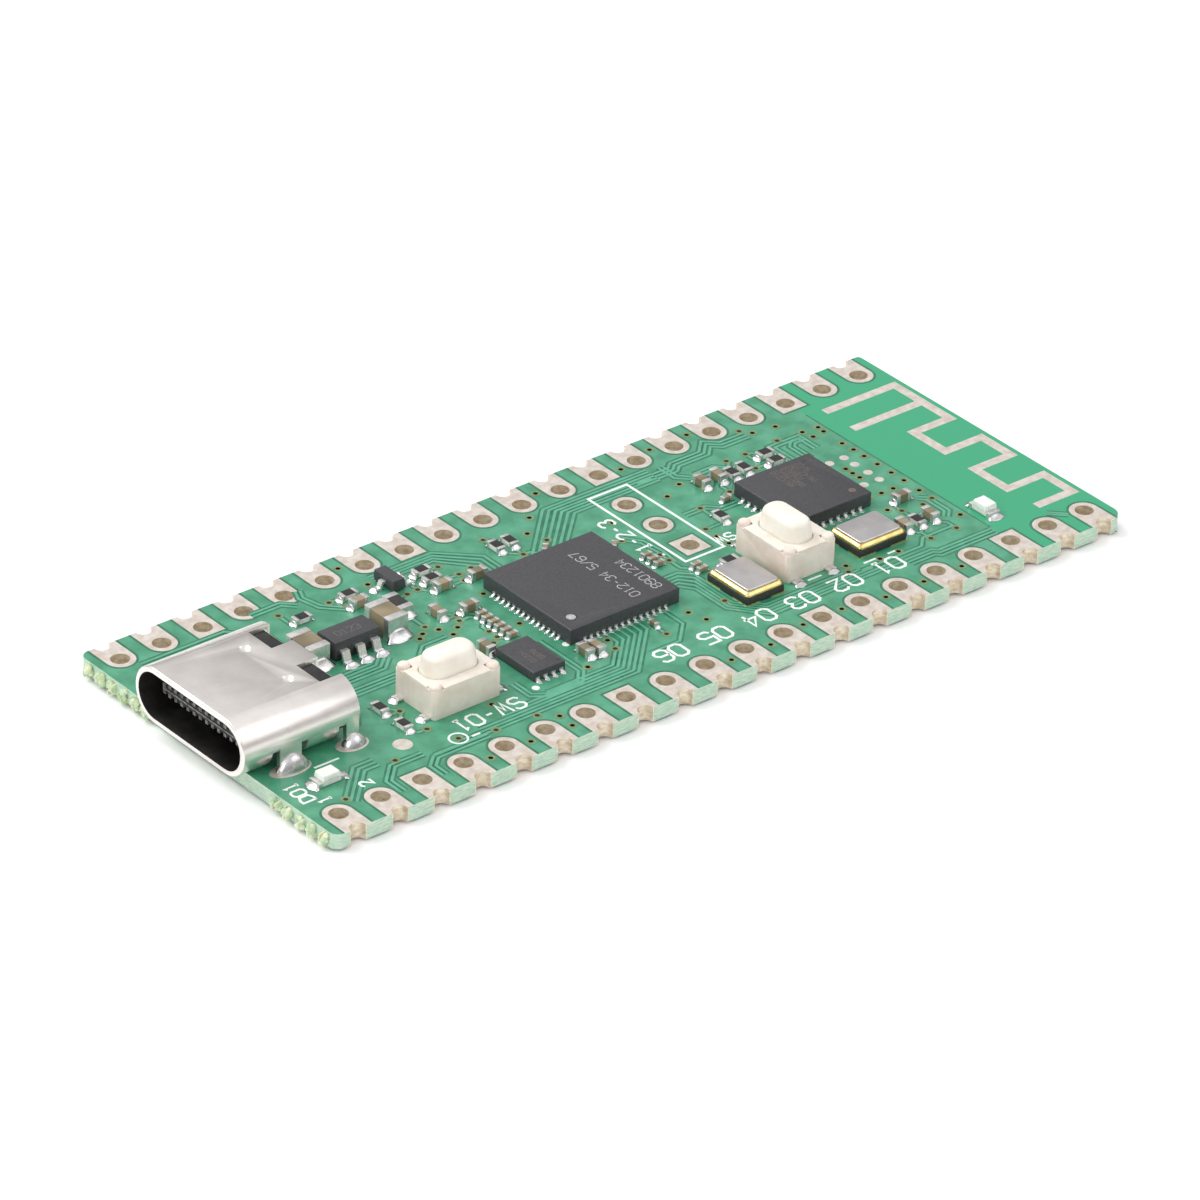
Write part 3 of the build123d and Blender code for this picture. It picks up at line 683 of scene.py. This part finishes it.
# Dark discs of painted shade deep in the via holes stop the light that would shine through them and make the
# holes read dark.
shade_discs = Shape()
shade_disc_levels = (0.25, 0.6)
for via in via_places:
    shade_discs.disc(via, via_hole_radius + 0.005, *shade_disc_levels, via_corners)
piece("via_shade_discs", shade_discs, via_hole_painted_shade)

# -------- tracks under the mask
track_width = 0.15
track_pitch = 0.27
etched_border = 0.22


def bundle(route, count, spacing=track_pitch):
    """Parallel tracks, the first along the route and the rest on its left."""
    return [offset_route(route, index * spacing) for index in range(count)]


near_tracks = [
    *bundle([(0.35, -3.75), (0.35, -5.2), (-0.85, -6.4), (-2.7, -6.4)], 1),
    *[[(-3.4 + 0.4 * i, -3.75), (-3.4 + 0.4 * i, -4.6 + 0.02 * i), (-5.0 + 0.13 * i, -6.2 - 0.25 * i),
       (-9.2 - 1.6 * i, -6.2 - 0.25 * i)] for i in range(6)],
    *bundle([(-22.8, -8.6), (-20.8, -6.6), (-19.9, -6.6)], 3, 0.3),
    *bundle([(-9.9, -4.6), (-9.9, -5.9), (-9.3, -6.3), (-7.3, -6.3), (-6.7, -5.6), (-6.7, -2.2)], 2, -0.26),
]
centre_tracks = [
    *[[(1.75, -1.2 - 0.27 * i), (3.3 - 0.2 * i, -1.2 - 0.27 * i), (3.9 - 0.22 * i, -1.8 - 0.3 * i),
       (3.9 - 0.22 * i, -5.0 - 0.1 * i), (4.9 - 0.1 * i, -6.25 - 0.24 * i),
       (10.0 + 0.8 * i, -6.25 - 0.24 * i)] for i in range(5)],
    *bundle([(13.4, -7.15), (15.2, -7.15), (15.45, -7.4), (19.0, -7.4)], 3, -0.26),
    *bundle([(22.3, -8.0), (23.1, -8.8)], 2, 0.2),
    *bundle([(3.95, -0.3), (4.1, 0.9), (3.95, 2.3), (3.3, 3.2)], 2, 0.26),
]
far_tracks = [
    *[[(-4.4 + 0.3 * i, 3.8), (-4.4 + 0.3 * i, 5.4 + 0.2 * i), (-5.9 + 0.15 * i, 7.1 + 0.24 * i),
       (-9.5, 7.1 + 0.24 * i)] for i in range(4)],
    *[[(-1.9 + 0.4 * i, 3.8), (-1.9 + 0.4 * i, 4.6 - 0.05 * i), (1.6 + 0.22 * i, 8.1 - 0.25 * i),
       (8.6, 8.1 - 0.25 * i)] for i in range(1, 7)],
    *bundle([(8.6, 6.75), (9.9, 6.75), (10.3, 7.1), (12.3, 7.1), (12.9, 7.7), (13.4, 7.25), (15.2, 7.25)], 3),
    *bundle([(16.2, 3.7), (16.2, 5.2), (16.6, 5.6), (17.3, 5.6)], 2, -0.25),
    *bundle([(-13.3, 8.9), (-13.6, 8.2), (-13.3, 6.9), (-12.1, 5.7)], 2, 0.26),
    *bundle([(-17.0, 0.3), (-14.2, 0.3), (-13.4, 1.0)], 4, 0.26),
    *bundle([(-17.3, -0.9), (-12.6, -0.9), (-11.2, 0.4), (-9.9, 0.4)], 3, 0.26),
    *bundle([(-16.5, 8.2), (-14.7, 8.2), (-14.1, 7.6)], 2, 0.26),
]
left_tracks = [
    *bundle([(-20.3, -9.2), (-20.3, -8.1), (-19.4, -7.2), (-17.6, -7.2)], 2, 0.27),
    *bundle([(-17.75, -9.2), (-17.75, -8.3), (-17.2, -7.8), (-14.0, -7.8)], 2, 0.27),
    *bundle([(-23.6, 7.6), (-18.6, 7.6), (-17.2, 6.2), (-17.2, 4.9)], 2, 0.3),
    *bundle([(-19.0, 4.5), (-18.2, 4.5), (-18.2, -2.2), (-18.8, -3.0)], 2, 0.28),
]
right_tracks = [
    *bundle([(15.3, 3.7), (15.3, 5.9), (17.4, 5.9), (17.4, 4.3)], 2, -0.26),
    *bundle([(10.4, 5.8), (11.6, 5.8), (12.2, 5.2), (12.2, 4.0)], 2, 0.26),
    *bundle([(9.3, 7.6), (9.3, 6.3), (9.9, 5.7)], 2, 0.28),
    *bundle([(11.0, -6.6), (15.0, -6.6), (15.6, -6.0), (17.6, -6.0)], 1),
    *bundle([(7.3, 2.9), (8.6, 2.9), (9.2, 2.3), (10.4, 2.3)], 2, 0.26),
    *bundle([(7.4, 7.0), (8.3, 7.0)], 1),
    *bundle([(18.0, -2.9), (18.3, -3.2), (18.3, -4.6), (17.9, -5.0)], 2, 0.26),
]
board_tracks = near_tracks + centre_tracks + far_tracks + left_tracks + right_tracks


def lay_tracks(name, routes, surface, upward):
    """Each track stands a little proud, over a wider dark stretch where the copper is etched away."""
    gaps, tracks = Shape(), Shape()
    for index, route in enumerate(routes):
        lift = layer * (0.3 + 0.4 * index / len(routes))
        levels = sorted((surface, surface + upward * lift))
        gaps.ribbon(route, track_width + etched_border, *levels)
        levels = sorted((surface, surface + upward * (lift + layer)))
        tracks.ribbon(route, track_width, *levels)
    piece(name + "_gaps", gaps, gap_finish)
    piece(name, tracks, track_finish)


def stubs():
    """Short tracks from the ends of the small chips to the via holes beside them."""
    longest, shortest, shortest_leg = 1.5, 0.35, 0.05
    routes = []
    for caps in ("small_capacitor_caps", "resistor_caps", "tiny_capacitor_caps", "inductor_caps"):
        for group in islands(caps):
            start = Vector(middle(group)[:2])
            via = min((Vector(place) for place in via_places), key=lambda place: (place - start).length)
            gap = via - start
            if not shortest < gap.length < longest:
                continue
            diagonal = min(abs(gap.x), abs(gap.y))
            knee = start + Vector((math.copysign(diagonal, gap.x), math.copysign(diagonal, gap.y)))
            bent = (via - knee).length > shortest_leg and (knee - start).length > shortest_leg
            route = [start, knee, via] if bent else [start, via]
            routes.append([tuple(place) for place in route])
    return routes


top_stubs = stubs()
lay_tracks("top_tracks", board_tracks, top, 1)
lay_tracks("top_stubs", top_stubs, top, 1)


def gap_to(place, start, end):
    """The distance in plan from a place to a stretch of track."""
    start, run = Vector(start[:2]), Vector(end[:2]) - Vector(start[:2])
    share = min(max((Vector(place) - start).dot(run) / run.dot(run), 0), 1)
    return (Vector(place) - start - run * share).length


# Dark discs of painted shade where a track or its etched border runs over the mouth of a via hole, standing
# in for the hole's dark depth.
mouths = Shape()
stretches = [pair for route in board_tracks + top_stubs for pair in zip(route, route[1:])]
for via in via_places:
    if any(gap_to(via, start, end) < via_hole_radius + track_width for start, end in stretches):
        mouths.disc(via, via_hole_radius, top, top + 2 * layer, via_corners)
piece("via_mouths", mouths, via_hole_painted_shade)


def pad_outline(x, side, square, grow):
    """The plan of one header pad, wider all round by grow, from the board's edge inwards."""
    half = pad_half_width + grow
    edge = side * half_width
    if square:
        inner = side * (row_y - half)
        return [(x - half, edge), (x - half, inner), (x + half, inner), (x + half, edge)]
    steps = 14
    turns = [math.pi * step / steps for step in range(steps + 1)]
    arc = [(x - half * math.cos(turn), side * (row_y - half * math.sin(turn))) for turn in turns]
    return [(x - half, edge), *arc, (x + half, edge)]


clearance = Shape()
clearance_width = 0.13
debug_square = [(4.76, -0.27), (6.44, -0.27), (6.44, 1.41), (4.76, 1.41)]
for upward, surface in ((1, top), (-1, 0.0)):
    levels = sorted((surface, surface + upward * 0.8 * layer))
    for pin, x in enumerate(pin_x):
        for side in (-1, 1):
            route = pad_outline(x, side, pin in square_pins, clearance_width / 2 + 0.005)
            clearance.ribbon(route, clearance_width, *levels)
    for debug_y in debug_round_y:
        clearance.ring((debug_x, debug_y), debug_pad_radius, debug_pad_radius + clearance_width, *levels, 28)
    clearance.loop(debug_square, 0.12, *levels)
piece("pad_clearances", clearance, gap_finish)

# Etched-away copper along the antenna zone.
etched = Shape()
etched_end = row_y - pad_half_width - 0.8
etched.ribbon([(pour_end, -etched_end), (pour_end, etched_end)], 0.09, top, top + 0.5 * layer)
piece("pour_edge", etched, gap_finish)

# -------- printed ink
GLYPHS = {
    "0": ["10 30 41 45 36 16 05 01 10"],
    "1": ["15 26 20", "10 30"],
    "2": ["05 16 36 45 44 00 40"],
    "3": ["05 16 36 45 44 33 42 41 30 10 01"],
    "4": ["30 36 02 42"],
    "5": ["46 06 03 33 42 41 30 10 01"],
    "6": ["45 36 16 05 01 10 30 41 42 33 03"],
    "7": ["06 46 20"],
    "8": ["13 04 05 16 36 45 44 33 13 02 01 10 30 41 42 33"],
    "9": ["01 10 30 41 45 36 16 05 04 13 43"],
    "-": ["13 33"],
    "/": ["00 46"],
    "D": ["00 06 26 45 41 20 00"],
    "S": ["45 36 16 05 04 13 33 42 41 30 10 01"],
    "W": ["06 10 24 30 46"],
}
GLYPH_WIDTH = 4
GLYPH_HEIGHT = 6
GLYPH_ADVANCE = 5.2


def write(shape, text, origin, along, rise, height, stroke, low, high):
    """Stroked characters from their lower left corner, along one direction and rising along the other."""
    unit = height / GLYPH_HEIGHT
    along, rise, origin = Vector(along), Vector(rise), Vector(origin)
    for position, character in enumerate(text):
        for stroke_code in GLYPHS.get(character, []):
            cells = [(int(pair[0]), int(pair[1])) for pair in stroke_code.split()]
            route = [
                origin + along * unit * (column + position * GLYPH_ADVANCE) + rise * unit * row
                for column, row in cells
            ]
            shape.ribbon(route, stroke, low, high)


ink_layers = 2.6
ink_top = top + ink_layers * layer
ink = Shape()
debug_frame = [(4.35, -0.6), (6.9, -0.6), (6.9, 7.25), (4.35, 7.25)]
ink.loop(debug_frame, 0.15, top, ink_top)
# Which way a line of writing runs, and which way its letters stand up.
sideways = (0, 1), (-1, 0)
upturned = (-1, 0), (0, -1)
downward = (0, -1), (1, 0)
for text, place, turned, height, stroke in (
    ("1-2-3", (3.95, 1.5), sideways, 0.85, 0.14),
    ("-", (4.15, 0.45), sideways, 0.5, 0.13),
    ("SW-01", (-10.7, -5.65), upturned, 1.0, 0.15),
    ("SW", (8.05, 0.35), upturned, 0.7, 0.13),
    ("01 02 03 04 05 06", (13.2, -6.5), upturned, 1.1, 0.15),
    ("D01", (-24.2, -7.2), sideways, 0.75, 0.13),
    ("1", (-23.6, -7.75), sideways, 0.65, 0.13),
    ("2", (-21.1, -7.75), sideways, 0.65, 0.13),
):
    write(ink, text, place, *turned, height, stroke, top, ink_top)
for start, end in (
    ((-22.6, -4.95), (-21.1, -4.95)), ((8.1, -5.75), (9.0, -5.75)), ((11.5, -6.15), (12.3, -6.15)),
    ((13.1, -6.15), (13.6, -6.15)), ((-14.7, -7.25), (-14.2, -7.25)),
):
    ink.ribbon([start, end], 0.13, top, ink_top)
ink.ring((-15.35, -7.0), 0.42, 0.53, top, ink_top)
for dot in ((-5.6, -3.25), (-9.4, -5.6)):
    ink.disc(dot, 0.2, top, ink_top)
piece("printed_ink", ink, ink_finish)

# -------- pads, antenna and test points
paint("header_pads", pad_finish, hole_finish)
paint("debug_header_pads", pad_finish, hole_finish)
paint("antenna_trace", pad_finish)
paint("test_pads", pad_finish)


# -------- torn edge where the board left its panel
def torn_edge():
    """Rounded tabs with ragged fibres between the breaking holes along the USB edge."""
    fibres, lumps = Shape(), Shape()
    tab_pitch = 0.95
    lumps_per_tab, lump_reach = 8, 0.24
    fibres_per_tab, root_depth = 4, 0.08
    x = board_low.x
    for start, end in ((4.7, 9.7), (-9.7, -5.2)):
        for tab in range(int((end - start) / tab_pitch) + 1):
            tab_middle = start + tab * tab_pitch
            for lump in range(lumps_per_tab):
                y = tab_middle + dice.uniform(-0.2, 0.2)
                fall = 1 - ((y - tab_middle) / 0.34) ** 2
                radius = dice.uniform(0.15, 0.24)
                z = dice.uniform(radius, top - radius - 0.03)
                place = (x - lump_reach * fall * dice.uniform(0.3, 1.0), y, z)
                lumps.lump(place, (radius,) * 3, dice)
            for fibre in range(fibres_per_tab):
                y = tab_middle + dice.uniform(-0.3, 0.3)
                fall = 1 - ((y - tab_middle) / 0.36) ** 2
                reach = 0.08 + 0.4 * fall * dice.uniform(0.5, 1.0)
                width = dice.uniform(0.06, 0.14)
                low = dice.uniform(0.0, 0.4)
                high = min(top - dice.uniform(0.01, 0.12), low + dice.uniform(0.2, 0.5))
                lean = dice.uniform(-0.05, 0.05)
                blunt = dice.uniform(0.3, 0.8)
                inside = x + root_depth
                root = [(inside, y - width / 2, low), (inside, y + width / 2, low),
                        (inside, y + width / 2, high), (inside, y - width / 2, high)]
                root_centre = Vector((inside, y, (low + high) / 2))
                tip_centre = Vector((x - reach, y + lean, (low + high) / 2))
                tip = [tuple(tip_centre + blunt * (Vector(corner) - root_centre)) for corner in root]
                sides = [[i, (i + 1) % 4, 4 + (i + 1) % 4, 4 + i] for i in range(4)]
                fibres.add(root + tip, [[0, 1, 2, 3], [4, 5, 6, 7]] + sides)
    piece("torn_edge_lumps", lumps, torn_finish, smooth=True)
    piece("torn_edge_fibres", fibres, torn_finish)


torn_edge()

# -------- CAD parts with their edges eased
shell = softened("usb_shell", 0.04, shell_finish)
shell_low, shell_high = (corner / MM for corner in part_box("usb_shell"))
shell_height = 3.12
shell_wall = 0.28
shell_axis = Vector((0, (shell_low.y + shell_high.y) / 2, shell_high.z - shell_height / 2))
shell_flat = (shell_high.y - shell_low.y - shell_height) / 2
# The shell's inner faces get painted shade, a dark metal standing in for the shadow inside the mouth.
shell.data.materials.append(shell_inside_painted_shade)
for polygon in shell.data.polygons:
    centre = polygon.center / MM
    core_y = min(max(centre.y, shell_axis.y - shell_flat), shell_axis.y + shell_flat)
    core = Vector((centre.x, core_y, shell_axis.z))
    facing_in = polygon.normal.dot(core - centre) > 0.05
    near = (core - centre).length < shell_height / 2 - shell_wall / 2
    if facing_in and near and abs(polygon.normal.x) < 0.5:
        polygon.material_index = 1
paint("usb_insulator", connector_resin_finish)
paint("usb_contacts", contact_finish)
paint("usb_mid_plate", shell_finish)

tongue_front = shell_low.x + 0.9
contact_count = 12
contact_pitch = 0.5
contact_level = 0.24
contact_half = 0.11
latch_y = 3.2
plate_y = 3.1
plate_half = 0.05
tips = Shape()
for contact in range(contact_count):
    y = shell_axis.y + (contact - (contact_count - 1) / 2) * contact_pitch
    for level in (-contact_level, contact_level):
        z = shell_axis.z + level
        tips.box(
            (tongue_front - 0.04, y - contact_half, z - contact_half),
            (tongue_front + 0.3, y + contact_half, z + contact_half),
        )
for side in (-1, 1):
    y = shell_axis.y + side * latch_y
    low, high = shell_axis.z - 0.3, shell_axis.z + 0.3
    tips.box((tongue_front - 0.03, y - 0.12, low), (tongue_front + 0.2, y + 0.12, high))
tips.box(
    (tongue_front - 0.05, shell_axis.y - plate_y, shell_axis.z - plate_half),
    (tongue_front + 0.1, shell_axis.y + plate_y, shell_axis.z + plate_half),
)
piece("tongue_contact_tips", tips, tip_finish)

# A bare pad, a heap of solder above the board and a shallow pool under it at each of the four legs.
leg_pools, leg_films = Shape(), Shape()
for leg_x, length, swell in ((shell_low.x + 2.85, 1.3, 1.0), (shell_low.x + 6.6, 0.75, 0.7)):
    for side in (-1, 1):
        leg_y = shell_axis.y + side * (shell_high.y - shell_low.y - shell_wall) / 2
        leg_films.pool((leg_x, leg_y + side * 0.1), length / 2 + 0.55, 0.62, 0.03, top, 0.5)
        leg_pools.pool((leg_x + 0.1, leg_y + side * 0.12), length / 2 + 0.32, 0.5, 0.85 * swell, top, 0.75)
        leg_pools.pool((leg_x, leg_y), length / 2 + 0.25, 0.34, -0.12, 0.0, 0.6)
piece("leg_pads", leg_films, pad_finish)
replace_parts(piece("leg_solder", leg_pools, solder_finish, smooth=True), "usb_leg_solder")
for chip in ("mcu", "wifi_chip", "flash_chip", "regulator", "transistor"):
    softened(chip + "_body", 0.02, resin_finish)
    paint(chip + "_leads", lead_finish if chip in ("regulator", "transistor") else cap_finish)
for crystal in ("mcu_crystal", "wifi_crystal"):
    softened(crystal + "_tray", 0.02, dark_ceramic_finish)
    paint(crystal + "_terminals", gold_finish)
    softened(crystal + "_ring", 0.03, gold_finish)
    softened(crystal + "_lid", 0.02, lid_finish)
    paint(crystal + "_blank", quartz_finish)
# Each dome gets a mesh of its own.
for switch, press in (("boot_switch", "boot_press"), ("reset_switch", "reset_press")):
    softened(switch + "_housing", 0.05, ivory_finish, 3)
    softened(switch + "_cover", 0.02, cover_finish)
    softened(switch + "_button", 0.06, button_finish, 3)
    dome = softened(switch + "_dome", 0.005, cap_finish, 1)
    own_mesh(dome)
    softened(switch + "_feet", 0.02, cap_finish)
for chips in ("large_capacitor", "small_capacitor", "tiny_capacitor"):
    softened(chips + "_blocks", 0.02, tan_finish)
    softened(chips + "_caps", 0.03, cap_finish)
softened("inductor_block", 0.02, dark_ceramic_finish)
softened("inductor_caps", 0.03, cap_finish)
softened("resistor_blocks", 0.015, white_ceramic_finish)
softened("resistor_glazes", 0.01, glaze_finish)
softened("resistor_caps", 0.025, cap_finish)
for lamp in ("usb_led", "status_led"):
    softened(lamp + "_base", 0.02, white_ceramic_finish)
    softened(lamp + "_ends", 0.02, cap_finish)
    softened(lamp + "_lens", 0.03, lamp_finish)

# -------- solder joints
joints = Shape()
joint_foot = top + 0.002


def plan(point):
    return Vector((point.x, point.y))


def cap_joints(blocks, caps, reach, share):
    """A fillet at the outer face of every end cap, its direction read from the block that it belongs to."""
    centres = [plan(middle(group)) for group in islands(blocks)]
    for group in islands(caps):
        centre = plan(middle(group))
        block = min(centres, key=lambda other: (other - centre).length)
        out = (centre - block).normalized()
        across = Vector((-out.y, out.x))
        edge = max((plan(point) - block).dot(out) for point in group)
        width = 2 * max(abs((plan(point) - block).dot(across)) for point in group)
        low, high = span(group)
        base = block + out * (edge - 0.02)
        joints.mound(base, out, reach, width * 1.08, (high.z - low.z) * share, joint_foot)


for blocks, caps, reach, share in (
    ("large_capacitor_blocks", "large_capacitor_caps", 0.45, 0.55),
    ("small_capacitor_blocks", "small_capacitor_caps", 0.26, 0.6),
    ("tiny_capacitor_blocks", "tiny_capacitor_caps", 0.16, 0.6),
    ("inductor_block", "inductor_caps", 0.35, 0.6),
    ("resistor_blocks", "resistor_caps", 0.24, 0.75),
    ("usb_led_base", "usb_led_ends", 0.4, 0.8),
    ("status_led_base", "status_led_ends", 0.4, 0.8),
):
    cap_joints(blocks, caps, reach, share)


def lead_joints(body, leads, reach, rise, spread=1.1, longest=1.6):
    """A toe of solder beyond every lead round a package, on the side of the body that it stands at."""
    low, high = (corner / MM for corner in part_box(body))
    for group in islands(leads):
        lead_low, lead_high = span(group)
        if max(lead_high.x - lead_low.x, lead_high.y - lead_low.y) > longest:
            continue
        gaps = {
            (-1, 0): lead_low.x - low.x, (1, 0): high.x - lead_high.x,
            (0, -1): lead_low.y - low.y, (0, 1): high.y - lead_high.y,
        }
        out = Vector(min(gaps, key=gaps.get))
        centre = plan(lead_low + lead_high) / 2
        size = lead_high - lead_low
        long_side, wide_side = (size.x, size.y) if out.x else (size.y, size.x)
        base = centre + out * (long_side / 2 - 0.01)
        joints.mound(base, out, reach, wide_side * spread, rise, joint_foot)


for chip, reach, rise, spread in (
    ("mcu", 0.3, 0.12, 1.1), ("wifi_chip", 0.3, 0.12, 1.1), ("flash_chip", 0.35, 0.13, 1.1),
    ("regulator", 0.34, 0.24, 1.6), ("transistor", 0.3, 0.2, 1.6),
):
    lead_joints(chip + "_body", chip + "_leads", reach, rise, spread)
for switch in ("boot_switch", "reset_switch"):
    lead_joints(switch + "_housing", switch + "_feet", 0.35, 0.16)
piece("solder_joints", joints, solder_finish, smooth=True)

# -------- marks on the packages
mark_rise = 0.003
mcu_top = (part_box("mcu_body")[1] / MM).z
marks = Shape()
write(marks, "012-34 5/67", (-0.45, -2.85), *sideways, 0.55, 0.055, mcu_top, mcu_top + 0.004)
write(marks, "8901234", (0.95, -2.85), *sideways, 0.55, 0.055, mcu_top, mcu_top + 0.004)
marks.disc((-4.7, -2.5), 0.25, mcu_top - 0.02, mcu_top + 0.002)
piece("mcu_marks", marks, mark_finish)

wifi_top = (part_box("wifi_chip_body")[1] / MM).z
faint = Shape()
for line, count in enumerate((7, 8, 6, 8, 4)):
    text = "".join(str((line * 3 + index) % 10) for index in range(count))
    write(faint, text, (12.6 + 0.42 * line, 2.6), *downward, 0.3, 0.035, wifi_top, wifi_top + mark_rise)
faint.disc((14.9, -1.25), 0.2, wifi_top - 0.02, wifi_top + 0.002)
flash_top = (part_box("flash_chip_body")[1] / MM).z
write(faint, "01234", (-8.3, -4.3), *sideways, 0.28, 0.035, flash_top, flash_top + mark_rise)
write(faint, "5678", (-7.75, -4.3), *sideways, 0.28, 0.035, flash_top, flash_top + mark_rise)
regulator_top = (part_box("regulator_body")[1] / MM).z
write(faint, "0123", (-15.3, 2.7), (1, 0), (0, 1), 0.45, 0.045, regulator_top, regulator_top + mark_rise)
piece("faint_marks", faint, faint_finish)

# -------- underside
under_tracks = [
    *bundle([(-20.0, -5.5), (-8.0, -5.5), (-5.5, -3.0), (6.0, -3.0), (8.5, -5.5), (17.0, -5.5)], 5, -0.5),
    *bundle([(-19.0, 5.0), (-10.0, 5.0), (-3.2, -1.8), (7.8, -1.8), (14.0, 4.4), (16.5, 4.4)], 4, 0.3),
    *[[(pin_x[pin], side * (row_y - 1.0)), (pin_x[pin], side * 6.4)]
      for pin in range(1, 18) for side in (-1, 1) if (pin - 2) % 5],
]
lay_tracks("underside_tracks", under_tracks, 0.0, -1)
numbers = Shape()
number_height = 0.75
for pin, x in enumerate(pin_x):
    for side in (-1, 1):
        number = str(pin + 1) if side < 0 else str(2 * pin_count - pin)
        width = (len(number) - 1) * GLYPH_ADVANCE + GLYPH_WIDTH
        start = x - width * number_height / GLYPH_HEIGHT / 2
        place = (start, side * 6.9 + 0.38)
        write(numbers, number, place, (1, 0), (0, -1), number_height, 0.11, -ink_layers * layer, 0.0)
piece("underside_numbers", numbers, ink_finish)


# -------- floor, light and camera
def pale_floor():
    """A wide floor, in metres, just under the solder of the connector's legs."""
    mesh = bpy.data.meshes.new("floor")
    reach = 3.0
    level = -0.00014
    corners = [(-reach, -reach, level), (reach, -reach, level), (reach, reach, level), (-reach, reach, level)]
    mesh.from_pydata(corners, [], [[0, 1, 2, 3]])
    floor = placed("floor", mesh)
    paper = bpy.data.materials.new("pale_paper")
    paper.use_nodes = True
    shader = paper.node_tree.nodes["Principled BSDF"]
    set_inputs(shader, Base_Color=colour(250, 250, 250), Roughness=0.9, Specular_IOR_Level=0.1)
    mesh.materials.append(paper)


def soft_light():
    world = bpy.data.worlds.new("soft_sky")
    bpy.context.scene.world = world
    world.use_nodes = True
    tree = world.node_tree
    back = tree.nodes["Background"]
    place = tree.nodes.new("ShaderNodeTexCoord")
    parts = tree.nodes.new("ShaderNodeSeparateXYZ")
    ramp = tree.nodes.new("ShaderNodeValToRGB")
    tree.links.new(place.outputs["Generated"], parts.inputs[0])
    tree.links.new(parts.outputs[2], ramp.inputs[0])
    tree.links.new(ramp.outputs[0], back.inputs["Color"])
    low, high = ramp.color_ramp.elements
    low.position, low.color = 0.0, (0.3, 0.29, 0.28, 1)
    high.position, high.color = 0.75, (1.0, 1.0, 1.0, 1)
    back.inputs["Strength"].default_value = 0.9

    for name, place, size, power in (
        ("key_light", (-0.25, 0.45, 0.6), 0.5, 3.0),
        ("side_light", (-0.55, -0.25, 0.35), 0.35, 1.1),
        ("fill_light", (0.4, -0.5, 0.5), 0.6, 0.9),
    ):
        light = bpy.data.lights.new(name, "AREA")
        light.size = size
        light.energy = power
        lamp = placed(name, light)
        lamp.location = place
        lamp.rotation_mode = "QUATERNION"
        lamp.rotation_quaternion = (-Vector(place)).to_track_quat("-Z", "Y")


def photo_camera():
    """A camera where the photograph's was, found by fitting it to the pin holes."""
    camera = bpy.data.cameras.new("camera")
    camera.lens = 222.69
    camera.sensor_width = 36.0
    camera.clip_start = 0.05
    camera.clip_end = 10.0
    place = Vector((-0.20718, -0.24656, 0.19206))
    forward = Vector((0.551233, 0.658377, -0.512525)).normalized()
    right = Vector((0.775690, -0.630652, 0.024154))
    right = (right - forward * right.dot(forward)).normalized()
    rise = right.cross(forward)
    turn = Matrix((right, rise, -forward)).transposed().to_4x4()
    viewer = placed("camera", camera)
    viewer.matrix_world = Matrix.Translation(place) @ turn
    bpy.context.scene.camera = viewer


pale_floor()
soft_light()
photo_camera()
bpy.context.scene.view_settings.view_transform = "Standard"
